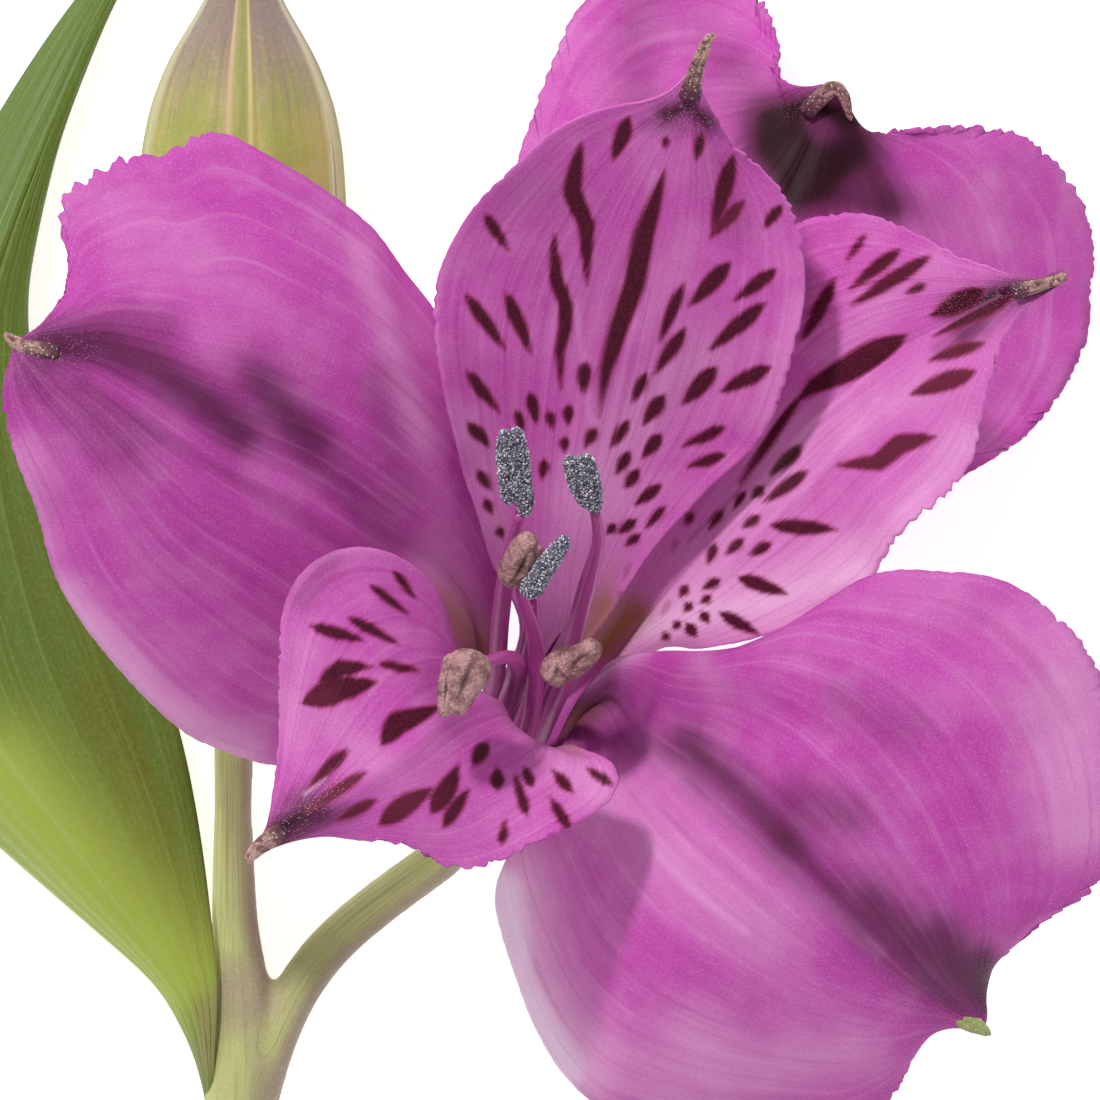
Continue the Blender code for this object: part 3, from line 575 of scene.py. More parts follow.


# The rails of each petal: its edges and its midrib, from the ring outwards
# In each petal's patches of colour, the thin light and dark lines are painted highlights and painted shade
# along the creases.
OUTER_LEFT = {
    "azimuth": 120,
    "whorl": "outer",
    "left": [
        (-5.4, -5.9, 16.8), (-7.8, -8.3, 18), (-10.5, -10, 19.5), (-13.6, -10.65, 21.5), (-17.5, -9.5, 24.5),
        (-21, -6.5, 27.5), (-24.5, -2, 30.5), (-25.85, 2.5, 32.5), (-27.25, 6, 34), (-27.4, 8, 34.6),
        (-26.9, 9.9, 35),
    ],
    "midrib": [
        (-3.9, -4.5, 16.5), (-5.5, -1.25, 21), (-9.1, 1.2, 26), (-12.5, 3.5, 29.5), (-16.1, 5.25, 32),
        (-19.1, 7, 33.5), (-22.25, 8.9, 34.5), (-25.2, 10.15, 35), (-26.6, 10.4, 35),
    ],
    "right": [
        (-3.1, -2.5, 15), (-3.7, 2.5, 17), (-4.75, 7.5, 20), (-6, 11.9, 23.5), (-10.25, 17.1, 28),
        (-14.3, 19.8, 31.2), (-16.2, 20.9, 31.8), (-18.1, 20.8, 32.4), (-19.4, 19.7, 32.8),
        (-21.4, 19.9, 33.2),
        (-23.2, 18.9, 33.6), (-24.7, 17.4, 34), (-24.2, 14.4, 34.5), (-24.6, 12.4, 34.8),
        (-25.6, 11, 35),
    ],
    "swell": 1.2,
    "toothed": (
        ((58, 325), (60, 290), (67, 250), (62, 215), (54, 195), (75, 178), (95, 170), (118, 157), 16, 1.0),
        ((140, 157), (165, 155), 14, 0.35), ((180, 142), (200, 130), 14, 0.5), ((2, 405), (4, 440), 14, 0.4),
    ),
    "dusk": (
        ((45, 346), (100, 346), (150, 364), (195, 394), (240, 432), 27, 0.84),
        ((60, 335), (130, 318), (165, 325), 20, 0.4), ((30, 380), (80, 405), (125, 440), 34, 0.45),
        ((252, 372), (275, 395), (310, 440), 25, 0.64), ((262, 385), (290, 425), 17, 0.4),
        ((310, 440), (350, 490), (385, 550), 25, 0.42),
        # Painted shadow: the first patch on this line, the band near x 380 to 400, where the upper inner
        # petal casts its shadow.
        ((375, 380), (385, 440), (400, 490), 20, 0.3), ((130, 470), (240, 560), (320, 640), 60, 0.14),
    ),
    "pale": (
        ((60, 600), (150, 700), (240, 755), 28, 0.68), ((20, 450), (45, 545), 20, 0.35),
        ((430, 560), (470, 640), 30, 0.45), ((355, 250), (385, 330), (420, 440), 16, 0.3),
        ((90, 200), (180, 240), (260, 300), 34, 0.12),
    ),
    "throat": (((440, 610), (475, 640), (500, 680), 24, 0.7),),
    "dark_line": (((80, 384), (200, 462), (300, 519), (357, 558), 7, 0.35),),
    "frost": (((20, 345), (80, 350), 22, 0.6), ((30, 400), (120, 430), 40, 0.25)),
    "horn": ((58, 352, 34.9, 0.4), (38, 348, 35, 0.42), (20, 345, 35, 0.38), (8, 337, 35.3, 0.3),
             (6, 332, 35.5, 0.12)),
}
OUTER_RIGHT = {
    "azimuth": -120,
    "whorl": "outer",
    "left": [
        (2.4, -6.3, 15.8), (5.1, -5.2, 20.5), (8.75, -5.05, 25), (12.25, -3.7, 28.5), (16.4, -1.3, 31),
        (19.3, -1.05, 32), (23, -1.6, 32.5), (26.5, -4.3, 32.5), (28.4, -8.2, 32), (28.9, -12.4, 31),
        (28, -16.2, 29.5), (25, -18.6, 27.4), (22.4, -20.3, 25), (21.7, -22.3, 23.3),
    ],
    "midrib": [
        (2.5, -7.7, 16), (4.5, -9.75, 21), (7.5, -12.5, 25.5), (10.5, -15.4, 28), (14, -18.75, 27.5),
        (17.5, -21.5, 25.5), (20, -22.9, 23.5), (21.7, -23.8, 22.5),
    ],
    "right": [
        (1.6, -9.8, 14.5), (0.9, -12.5, 14), (-1.3, -14.75, 14), (-2.8, -16.8, 14), (-2.3, -19.9, 14),
        (-0.5, -24.4, 13.5), (1.3, -26.9, 13.2), (4.6, -28.5, 14), (10.5, -29.1, 17), (15, -28.8, 19.5),
        (17.5, -27.2, 21), (18.1, -25.4, 22), (19.2, -24, 22.4), (20.4, -23.5, 22.6), (21.3, -24.1, 22.5),
    ],
    "swell": 1.0,
    "toothed": (
        ((1060, 627), (1090, 670), (1110, 760), (1110, 860), (1085, 905), (1055, 925), (1020, 950), 22, 0.75),
        ((958, 1030), (918, 1068), (900, 1100), 16, 0.5), ((880, 578), (1030, 605), 14, 0.12),
    ),
    # Partly the petal's own dark tip; the streak down its middle, the patches under the next petal's edge and
    # the dark throat are painted shadow and painted shade.
    "dusk": (
        ((692, 744), (745, 788), (790, 838), 23, 0.7), ((790, 838), (840, 885), 20, 0.5),
        ((800, 795), (850, 815), 24, 0.5),
        ((870, 900), (930, 950), (980, 990), 28, 0.74), ((945, 930), (985, 975), 24, 0.62),
        ((700, 760), (850, 900), (960, 1008), 7, 0.4), ((840, 700), (905, 730), 26, 0.35),
        ((870, 940), (940, 1000), 26, 0.4), ((560, 735), (620, 740), (690, 750), 22, 0.35),
        ((985, 960), (985, 1005), 13, 0.6), ((650, 690), (780, 700), 26, 0.2),
        ((545, 728), (610, 700), 24, 0.66),
    ),
    # Largely painted light: the lower left lobe, the back-lit edge by the throat, the right lobe and the lit
    # low edge.
    "pale": (
        ((505, 890), (515, 980), (560, 1070), 46, 1.0), ((560, 690), (640, 650), 10, 0.85),
        ((620, 800), (700, 870), (760, 920), 46, 0.35), ((1060, 690), (1080, 820), 46, 0.5),
        ((900, 590), (1000, 620), 30, 0.15), ((590, 1060), (700, 1090), 40, 0.25),
        ((690, 640), (720, 680), 16, 0.25), ((690, 1040), (770, 1065), (850, 1050), 36, 0.4),
    ),
    "throat": (((548, 722), (590, 712), 16, 0.4), ((620, 640), (640, 632), 10, 0.5)),
    "bright_line": (((640, 745), (720, 812), (800, 885), (880, 950), 7, 0.14),
                    ((655, 842), (695, 885), (745, 930), 6, 0.25)),
    "dark_line": (((690, 780), (780, 862), (860, 930), 7, 0.3),),
    "frost": (((840, 960), (900, 1000), (960, 1020), 30, 0.4), ((985, 960), (992, 1030), 8, 0.9)),
    "leafy": 1.0,
    "horn": ((945, 1003, 22.9, 0.4), (962, 1017, 22.8, 0.5), (978, 1026, 22.8, 0.42),
             (991, 1035, 22.9, 0.15)),
}
OUTER_BACK = {
    "azimuth": 0,
    "whorl": "outer",
    "left": [
        (1, -0.5, 12.3), (0.1, 4.5, 13), (-1.2, 10, 12.2), (-2, 15, 10.5), (-1.6, 19.4, 8.4),
        (-0.1, 24.2, 5.2), (1.5, 27.1, 2.6), (4.2, 29.3, 0.75), (7.4, 29.6, 0.9), (10.2, 28.1, 3.4),
        (11.5, 25.9, 6.6), (10.9, 24.1, 9.2), (12.7, 22.5, 11),
    ],
    "midrib": [
        (2.5, -0.5, 12.5), (5.5, 5, 13.6), (8.25, 10.5, 13.4), (10.75, 15.5, 12.4), (12.75, 19.5, 11.6),
        (14.2, 23.3, 11.4),
    ],
    "right": [
        (4.5, -1, 12.3), (9.5, 1.5, 13.4), (15, 3, 12.6), (19, 3.5, 10.6), (21.5, 4.1, 9),
        (24.5, 6.3, 5.6), (26.5, 9.5, 2.6), (27.3, 13, 0.75), (27, 16.4, 0.9), (25.6, 19.1, 2.6),
        (22.8, 21.2, 5.4), (19.2, 21.3, 8.2), (16.3, 20.5, 10.4), (14.9, 21.8, 11.2),
    ],
    "swell": 0.6,
    "toothed": (
        ((870, 136), (930, 127), (1012, 128), (1056, 158), (1076, 195), (1092, 240), (1096, 290), 20, 0.7),
        ((1090, 330), (1060, 400), (1010, 450), 20, 0.35), ((560, 20), (532, 120), 16, 0.3),
        ((775, 0), (788, 37), (775, 70), (785, 84), (810, 100), 18, 0.9),
    ),
    # The dark patch by the tip is the petal's own colour, deepened with painted shade.
    "dusk": (
        ((770, 120), (812, 104), (845, 120), 20, 1.0), ((775, 140), (795, 195), (835, 165), 34, 1.0),
        ((770, 150), (815, 165), (850, 150), 32, 0.95),
        ((795, 130), (815, 175), 26, 1.0), ((850, 120), (868, 165), (888, 205), 20, 0.75),
        # Painted shadow: the soft patches on this line, on the left lobe, where the upper inner petal's tip
        # casts its shadow.
        ((735, 60), (765, 110), 24, 0.35), ((640, 0), (635, 110), 34, 0.4), ((700, 20), (720, 100), 28, 0.25),
        ((800, 195), (850, 200), (885, 205), 22, 0.75), ((880, 200), (930, 215), 22, 0.25),
    ),
    "pale": (((545, 50), (530, 140), 20, 0.12), ((990, 180), (1000, 240), 12, 0.2)),
    "frost": (((830, 90), (790, 110), 12, 0.4), ((960, 140), (985, 190), 10, 0.5)),
    "horn": ((806, 112, 11.9, 0.4), (820, 97, 12.4, 0.42), (834, 87, 12.9, 0.4), (844, 95, 12.9, 0.32),
             (848, 108, 12.3, 0.22), (851, 121, 11.6, 0.12)),
}
INNER_UPPER = {
    "azimuth": 52,
    "whorl": "inner",
    "left": [
        (-1.5, -4.5, 16.4), (-3, -0.5, 20.8), (-4, 3, 24), (-5.25, 7, 27), (-5.85, 11, 28.8),
        (-5.5, 13.8, 29), (-4.25, 16.25, 29.6), (-2.25, 18.75, 30), (0.5, 21.3, 30.6), (3.5, 22.2, 31),
        (5.4, 22.6, 31.2), (6.4, 23.2, 31.5), (6.75, 23.7, 31.7),
    ],
    "midrib": [
        (0.25, -4.5, 15.5), (1, -0.5, 19), (2, 4, 21.5), (3.1, 8.5, 23.8), (4.25, 13.5, 26.3),
        (5.6, 18, 28.5), (6.65, 21.25, 30.3), (7, 22.6, 31.1), (7.05, 23.75, 31.7),
    ],
    "right": [
        (2, -4.5, 15.6), (5, -0.15, 19), (8.05, 3.15, 21.6), (10.7, 5.75, 24), (12.1, 9.1, 26),
        (12.7, 12.6, 27.6), (12.5, 15.75, 28.8), (11.5, 18, 29.6), (9.4, 20.2, 30.4), (8.3, 21.7, 31),
        (7.6, 22.9, 31.4), (7.35, 23.7, 31.7),
    ],
    "swell": -0.5,
    "toothed": (((438, 290), (432, 340), 14, 0.5), ((722, 112), (780, 190), (805, 250), 16, 0.9),
                ((560, 122), (485, 200), 14, 0.3), ((800, 340), (764, 435), 14, 0.4)),
    "marks": (
        ((484, 213), (508, 250), 10), ((581, 141), (571, 190), (586, 223), (587, 284), 17),
        ((629, 116), (613, 159), 14),
        ((665, 169), (644, 233), (634, 284), (619, 325), (606, 368), (598, 415), 21),
        ((553, 233), (555, 274), (565, 304), (565, 325), (559, 350), (560, 387), 13),
        ((734, 154), (723, 192), (713, 233), 16), ((744, 200), (711, 236), 12), ((782, 205), (764, 227), 10),
        ((703, 131), (697, 157), 10), ((666, 135), (665, 146), 6), ((465, 294), (503, 348), 12),
        ((505, 292), (530, 353), 13), ((466, 371), (498, 412), 11), ((467, 423), (488, 445), 11),
        ((528, 391), (536, 422), 11), ((514, 409), (522, 430), 9), ((548, 409), (551, 427), 8),
        ((568, 403), (567, 423), 10), ((585, 359), (582, 393), 12), ((684, 282), (659, 340), 11),
        ((685, 327), (655, 372), 13), ((731, 261), (690, 304), 16), ((776, 269), (736, 299), 13),
        ((766, 302), (711, 348), 15), ((772, 366), (721, 391), 15), ((717, 366), (683, 403), 16),
        ((664, 393), (643, 423), 14), ((646, 372), (632, 400), 10), ((628, 419), (611, 445), 10),
        ((595, 426), (585, 445), 10), ((661, 433), (643, 455), 12), ((726, 426), (684, 445), 11),
        ((726, 454), (689, 466), 11), ((629, 450), (615, 472), 11), ((638, 468), (624, 486), 11),
        ((564, 435), (563, 450), 9), ((544, 458), (541, 477), 9), ((477, 470), (489, 489), 9),
        ((484, 499), (491, 513), 8), ((497, 527), (501, 537), 7), ((662, 484), (635, 503), 11),
        ((665, 506), (647, 527), 8), ((636, 519), (618, 531), 10), ((615, 523), (606, 531), 9),
        ((640, 534), (626, 544), 8),
    ),
    "faint": (((631, 559), (624, 581), 7), ((622, 590), (620, 599), 6)),
    "dusk": (
        ((666, 112), (688, 104), (708, 120), 12, 0.95), ((645, 122), (722, 132), 10, 0.3),
        ((718, 165), (735, 225), 22, 0.3), ((500, 200), (560, 200), 40, 0.2),
        ((590, 300), (640, 200), 60, 0.12),
        ((640, 400), (720, 340), 40, 0.1),
    ),
    "pale": (
        ((560, 620), (600, 500), 50, 0.4), ((470, 420), (500, 540), 20, 0.3),
        ((590, 480), (650, 400), (700, 350), 40, 0.35), ((800, 300), (770, 420), 14, 0.3),
        ((690, 230), (640, 330), 16, 0.2),
    ),
    "throat": (((588, 640), (606, 605), 18, 0.7), ((600, 600), (612, 570), 12, 0.25)),
    "bright_line": (((655, 170), (610, 330), 3, 0.2), ((575, 300), (590, 420), 3, 0.25)),
    "ruddy": (((748, 195), (715, 235), 14, 0.5),),
    "frost": (((665, 116), (690, 108), (712, 130), 14, 1.0),),
    "horn": ((689, 96, 31.2, 0.5), (692, 84, 31.6, 0.42), (697, 66, 32.2, 0.36), (703, 50, 32.8, 0.32),
             (708, 39, 33.1, 0.28), (716, 34, 33.2, 0.18)),
}
INNER_RIGHT = {
    "azimuth": -52,
    "whorl": "inner",
    "left": [
        (3.1, -2.6, 13.8), (5, 2.5, 16), (7.5, 7.5, 18), (9.75, 12.5, 20), (11.75, 15.9, 21.6),
        (13.65, 16.8, 22.6), (15.8, 16.85, 23.6), (17.9, 16.1, 24.8), (20, 14.8, 26), (22.5, 13.9, 27),
        (24, 13.45, 27.7), (25.6, 14.1, 29),
    ],
    "midrib": [
        (4.05, -4.4, 14.2), (7, -1, 16.8), (10, 3, 19), (13, 6.5, 21), (16.5, 9.25, 23), (20, 11.25, 25),
        (22.75, 12.65, 26.6), (24.1, 13.15, 27.6), (25.7, 13.8, 29),
    ],
    "right": [
        (4.6, -5.5, 14.4), (7.5, -4.95, 17.8), (10.5, -4.4, 20.8), (14.05, -3, 23.6), (16.5, -1.2, 25.2),
        (17.7, 0.75, 26.2), (20, 2.95, 27), (21.2, 4.9, 27.4), (21.5, 7, 27.6), (22.1, 8.9, 27.8),
        (22.7, 10.6, 27.8), (23.7, 12, 27.8), (25.8, 13.5, 29),
    ],
    "swell": 0.5,
    "toothed": (((995, 350), (980, 396), (975, 440), (935, 508), (900, 535), (888, 562), 18, 1.0),
                ((820, 215), (905, 233), (960, 262), 14, 0.5)),
    "marks": (
        ((866, 235), (848, 260), 6), ((901, 249), (852, 288), 12), ((931, 256), (853, 305), 13),
        ((927, 284), (908, 293), 7), ((985, 288), (932, 316), 18), ((1020, 295), (936, 337), 12),
        ((985, 344), (932, 361), 11), ((976, 372), (913, 395), 17),
        ((908, 335), (880, 350), (850, 368), (815, 385), (797, 402), 26),
        ((806, 390), (785, 418), (768, 444), (741, 482), 8),
        ((936, 437), (901, 445), (880, 463), (841, 466), 17), ((836, 279), (804, 340), 13),
        ((804, 447), (773, 475), 12), ((810, 472), (766, 503), 12), ((774, 526), (839, 530), 13),
        ((746, 491), (736, 509), 9), ((766, 488), (755, 498), 9), ((762, 517), (745, 528), 9),
        ((724, 509), (710, 528), 7), ((694, 512), (687, 524), 6), ((773, 544), (753, 555), 9),
        ((746, 540), (729, 555), 9), ((718, 545), (711, 564), 8), ((741, 578), (788, 594), 13),
        ((722, 613), (759, 634), 11), ((722, 580), (706, 589), 8), ((690, 587), (683, 597), 8),
        ((713, 597), (704, 603), 7), ((694, 604), (687, 611), 7), ((704, 613), (710, 622), 9),
        ((689, 624), (697, 636), 10), ((682, 622), (676, 629), 7), ((671, 634), (664, 638), 6),
    ),
    "faint": (((673, 601), (664, 617), 7), ((679, 537), (673, 552), 7)),
    "dusk": (
        ((1060, 282), (1010, 290), (955, 308), 13, 0.95), ((1010, 300), (965, 335), 14, 0.7),
        # Painted shadow: the first patch on this line, the strip along the left margin, where the upper inner
        # petal casts its shadow.
        ((800, 240), (808, 330), 13, 0.4), ((985, 330), (940, 350), 9, 0.35),
    ),
    "pale": (
        ((650, 630), (760, 605), (860, 570), 42, 0.8), ((700, 560), (800, 440), 44, 0.4),
        ((890, 540), (970, 440), 24, 0.5), ((860, 420), (940, 380), 34, 0.25),
        ((830, 350), (930, 265), 22, 0.2),
    ),
    "throat": (((606, 645), (636, 612), 18, 0.9),),
    "bright_line": (((1000, 295), (900, 350), (820, 420), (740, 520), 2, 0.2),
                    ((880, 400), (800, 500), 2, 0.2)),
    "dark_line": (((778, 440), (740, 490), (690, 540), 2, 0.35),),
    "ruddy": (((920, 390), (970, 375), 22, 0.5), ((850, 464), (930, 440), 22, 0.45),
              ((860, 290), (910, 265), 20, 0.3),
              ((940, 350), (985, 345), 16, 0.3)),
    "frost": (((1000, 290), (1030, 300), 14, 0.9), ((930, 300), (1000, 290), 24, 0.5),
              ((990, 350), (970, 430), 10, 0.6)),
    "horn": ((1014, 291, 28.1, 0.4), (1032, 287, 28.5, 0.34), (1046, 283, 28.8, 0.28), (1058, 279, 29, 0.24),
             (1066, 273, 29.2, 0.16)),
}
INNER_FRONT = {
    "azimuth": 180,
    "whorl": "inner",
    "left": [
        (-4.3, -9.3, 17.5), (-4.6, -6.4, 23), (-5, -3.5, 27.6), (-6.45, -1.05, 30.2), (-8.25, 0, 31.6),
        (-10, 0.15, 32.6), (-11.7, -0.5, 33.4), (-12.95, -1.95, 33.8), (-13.6, -4.5, 34.2),
        (-13.6, -8, 34.5), (-13.8, -11.5, 34.6), (-14.2, -14, 34.6), (-14.9, -15, 34.5),
    ],
    "midrib": [
        (-3.0, -10.6, 17), (-2.3, -8.9, 23), (-2.9, -7.7, 27.6), (-5, -8.4, 31.2), (-7.5, -10.35, 33.4),
        (-10.25, -12.25, 34.6), (-12.5, -13.75, 35), (-15, -15.25, 34.5),
    ],
    "right": [
        (-1.6, -11.6, 17.5), (-0.4, -10.6, 22.5), (1.2, -9.9, 26.6), (3, -10.4, 28.8), (3.4, -11.8, 29.6),
        (2, -13.25, 30.2), (-0.5, -14.75, 30.8), (-3.5, -16, 31.5), (-5.5, -15.9, 32), (-6.8, -15, 32.6),
        (-9, -14.5, 33.4), (-11.5, -14.3, 34.2), (-13.2, -14.45, 34.4), (-14.3, -14.95, 34.5),
        (-15, -15.45, 34.5),
    ],
    "swell": 0.5,
    "folded_over": True,
    "toothed": (((290, 640), (278, 680), (282, 725), (276, 770), 14, 0.5),
                ((385, 848), (440, 868), (500, 862), (560, 850), 16, 1.0), ((600, 820), (620, 780), 12, 0.3)),
    "marks": (
        ((310, 626), (362, 641), 11), ((348, 618), (396, 645), 9), ((370, 586), (406, 614), 8),
        ((394, 572), (413, 597), 7), ((379, 665), (416, 672), 8), ((302, 703), (335, 691), (376, 683), 25),
        ((318, 684), (340, 669), (370, 667), 16), ((380, 746), (396, 724), (439, 709), 21),
        ((347, 750), (311, 785), 11),
        ((365, 773), (306, 813), 10), ((374, 799), (337, 818), 10), ((378, 824), (406, 803), (431, 788), 20),
        ((485, 744), (470, 767), 15), ((430, 813), (447, 785), (457, 765), 19), ((442, 827), (466, 790), 12),
        ((496, 790), (495, 770), 13), ((527, 817), (514, 778), 9), ((532, 788), (523, 770), 9),
        ((572, 793), (552, 772), 10), ((612, 785), (588, 770), 9), ((569, 829), (550, 799), 10),
        ((501, 845), (505, 821), 8),
    ),
    "dusk": (
        ((255, 852), (285, 828), (315, 808), 17, 0.97), ((285, 825), (345, 812), 12, 0.55),
        # Painted shade: the fold at the upper left, near (300, 600), and on the next line the painted shadow
        # of the low left anther.
        ((290, 800), (325, 780), 10, 0.4), ((300, 600), (330, 560), 14, 0.35),
        ((430, 680), (450, 720), 22, 0.3),
    ),
    "pale": (((500, 690), (560, 760), (600, 790), 22, 0.3), ((290, 740), (300, 640), 20, 0.2),
             ((330, 720), (400, 780), 20, 0.2)),
    "throat": (((520, 704), (545, 728), (575, 738), 16, 0.8),),
    "bright_line": (((305, 795), (325, 778), 2, 0.5),),
    "ruddy": (((290, 830), (345, 790), (410, 805), 34, 0.55), ((305, 703), (325, 695), 16, 0.4)),
    "frost": (((262, 846), (330, 790), 18, 0.9), ((278, 720), (290, 700), 8, 0.6)),
    "horn": ((282, 831, 34.7, 0.48), (270, 840, 34.9, 0.46), (260, 847, 35, 0.38), (253, 854, 34.9, 0.3),
             (247, 863, 34.7, 0.16)),
}
PETALS = {
    "outer_left": OUTER_LEFT,
    "outer_right": OUTER_RIGHT,
    "outer_back": OUTER_BACK,
    "inner_upper": INNER_UPPER,
    "inner_right": INNER_RIGHT,
    "inner_front": INNER_FRONT,
}


def petal_grid(form, rows, columns):
    """The sheet of one petal, from the ring to its tip."""
    radius, claw_width = PETAL_RING[form["whorl"]]
    rails = []
    for label, across in (("left", claw_width / 2), ("midrib", 0.0), ("right", -claw_width / 2)):
        points = [on_ring(form["azimuth"], radius, across), *(seen(*point) for point in form[label])]
        rails.append(eased(smooth_path(points, rows), 3.5))
    return sheet_grid(*rails, columns, 1.8, form["swell"])


def petal(name, form, teeth, seed, settings, skin):
    """One petal of the open flower, with its toothed margin, its midrib's groove, its folds and its marks."""
    grid, along, v = petal_grid(form, *PETAL_SHEET[form["whorl"]])
    normals = grid_normals(grid)
    grid = cut_margins(grid, v, normals, teeth, form["toothed"], settings.frill / MM, seed)
    width = np.linalg.norm(grid[:, -1] - grid[:, 0], axis=1)[:, None]
    aside = np.abs(v)[None, :] * width / 2
    groove = 0.12 * np.exp(-((aside / 0.45) ** 2)) * (1 - ramp(along, 0.9, 0.97))[:, None]
    chance = np.random.default_rng(seed + 50)
    folds = wave_at((v + 1) / 2, 28, 2.1, chance)
    drift = wave_at(along, 10, 2.5, chance)
    pleats = 0.045 * folds[None, :] * (0.7 + 0.3 * drift[:, None]) * np.sin(np.pi * along)[:, None]
    grid = grid + normals * (pleats - groove)[..., None]
    full, thin = settings.thickness / MM, settings.margin / MM
    edge = ramp(np.abs(v), 0.35, 1.0)[None, :]
    thickness = full + (thin - full) * edge + 0.25 * (1 - ramp(along, 0.0, 0.3))[:, None] * (1 - edge)
    places = spots(grid)
    facts = {"along": along[:, None], "across": v[None, :]}
    for label, strokes in (("mark", "marks"), ("faint", "faint")):
        facts[label] = stroke_depth(places, form.get(strokes, ()))
    for label in ("dusk", "pale", "throat", "frost", "ruddy", "bright_line", "dark_line"):
        facts[label] = soft_patches(places, form.get(label, ()))
    under = (1.0, 0.0) if form.get("folded_over") else (0.0, 1.0)
    thick_sheet("petal_" + name, grid, thickness, facts, under, skin, "tepal_" + name)


def petal_horn(name, form, skin):
    """The hard little horn at a petal's tip."""
    path = smooth_path([spot_seen(*knot[:3]) for knot in form["horn"]], HORN_RINGS)
    along = np.linspace(0, 1, HORN_RINGS)
    radii = np.interp(along, np.linspace(0, 1, len(form["horn"])), [knot[3] for knot in form["horn"]])
    grid = tube_grid(path, radii * np.sqrt(np.clip((1 - along) / 0.08, 0.02, 1)), HORN_SIDES)
    angle = ring_angles(HORN_SIDES)
    ridges = 1 + 0.16 * np.cos(3 * angle + 1.0) + 0.06 * np.cos(7 * angle)
    grid = path[:, None] + (grid - path[:, None]) * ridges[None, :, None]
    facts = {"along": along[:, None], "round": (angle / np.pi)[None, :], "leafy": form.get("leafy", 0.0)}
    closed_tube("horn_" + name, grid, facts, skin, [])


def horn_skin(settings):
    """Dry, ridged tissue, tan to dark brown, with pale grains; 'leafy' turns its middle green."""
    skin = Skin("petal_horn", Specular_IOR_Level=0.3)
    place, along = skin.place(), skin.fact("along")
    mottle = skin.noise(place, 2.6, 3.0, 0.6)
    lines = skin.streaks(skin.fact("round"), 7.0, along, 3.0, 2.0)
    skin.colour = linear(112, 74, 76)
    skin.tint(settings.horn_colour[:], mottle, 0.36, 0.56)
    skin.tint(linear(84, 50, 56), lines, 0.48, 0.66, 0.0, 0.6)
    skin.tint(linear(84, 40, 60), along, 0.05, 0.5, 0.95, 0.0)
    leafy = skin.times(skin.fact("leafy"), skin.between(mottle, 0.25, 0.5, 0.5, 1.0))
    skin.tint(linear(158, 168, 104), leafy)
    skin.tint(linear(226, 206, 200), skin.cells(place, 5.0), 0.14, 0.3, 0.8, 0.0)
    skin.bump((mottle, 0.00012, 0.8))
    return skin.finish(mottle, 0.3, 0.7, 0.55, 0.75)


def petal_skin(name, body, settings):
    """Petal tissue: veined and finely grained, with dark marks, dusky patches, frosted tips, and painted
    light and shade.
    """
    skin = Skin(name, Specular_IOR_Level=0.12)
    place = skin.place()
    veins = skin.streaks(skin.fact("across"), 24.0, skin.fact("along"), 2.6, 2.0, 0.62)
    grain = skin.noise(place, 10.0, 1.0, 0.6)
    light, deep, night = settings.pale_colour[:], settings.vein_colour[:], settings.dusk_colour[:]
    skin.colour = body
    skin.tint(light, skin.noise(place, 0.3, 2.0, 0.6), 0.35, 0.7, 0.0, 0.16)
    # 'pale' is partly paler tissue and partly painted light on lit and lit-through lobes; past 0.7 it turns
    # near white, a painted glow.
    pale = skin.fact("pale")
    skin.tint(light, pale)
    skin.tint(linear(253, 222, 249), pale, 0.7, 1.0, 0.0, 0.8)
    skin.tint(deep, veins, 0.48, 0.75, 0.0, 0.32)
    skin.tint(light, veins, 0.46, 0.28, 0.0, 0.15)
    skin.tint(light, grain, 0.5, 0.75, 0.0, 0.17)
    skin.tint(deep, grain, 0.5, 0.28, 0.0, 0.17)
    # The dusky patches are partly the petals' own dark colour and partly painted shadow; past 0.92 they
    # deepen to near black, painted shade for the back petal's shadowed tip.
    dusk = skin.fact("dusk")
    ragged = skin.swing(veins, skin.between(dusk, 0.95, 0.5, 0.0, 0.9))
    streaked = skin.maths("MULTIPLY", dusk, skin.plus(ragged, 1.0), clamp=True)
    skin.tint(skin.mix(skin.between(dusk, 0.92, 1.0), night, linear(44, 12, 24)), streaked)
    skin.tint(settings.throat_colour[:], skin.fact("throat"))
    # Painted highlights beside the midrib creases, and painted shade down them.
    skin.tint(light, skin.fact("bright_line"))
    skin.tint(night, skin.fact("dark_line"))
    wobble = skin.plus(skin.swing(veins, 5.0), skin.swing(grain, 4.0))
    depth = skin.plus(skin.fact("mark"), wobble)
    seen_side = skin.maths("SUBTRACT", 1.0, skin.times(skin.fact("under"), 0.75))
    skin.tint(settings.mark_edge_colour[:], skin.times(skin.between(depth, -5.0, 1.0, 0.0, 0.75), seen_side))
    core = skin.times(skin.between(depth, -2.2, 2.6, 0.0, 0.96), seen_side)
    red = skin.maths("MAXIMUM", skin.times(skin.fact("ruddy"), 0.7), skin.between(grain, 0.4, 0.7, 0.0, 0.25))
    skin.tint(skin.mix(red, settings.mark_colour[:], linear(142, 52, 80)), core)
    skin.tint(settings.mark_edge_colour[:], skin.plus(skin.fact("faint"), wobble), -2.5, 2.5, 0.0, 0.4)
    frost = skin.between(skin.cells(place, 8.0), 0.12, 0.3, 0.5, 0.0)
    skin.tint(linear(238, 218, 232), skin.times(skin.fact("frost"), frost))
    skin.bump((grain, 0.00002, 0.5), (veins, 0.0001, 0.5))
    return skin.finish(core, 0.0, 1.0, 0.5, 0.42)


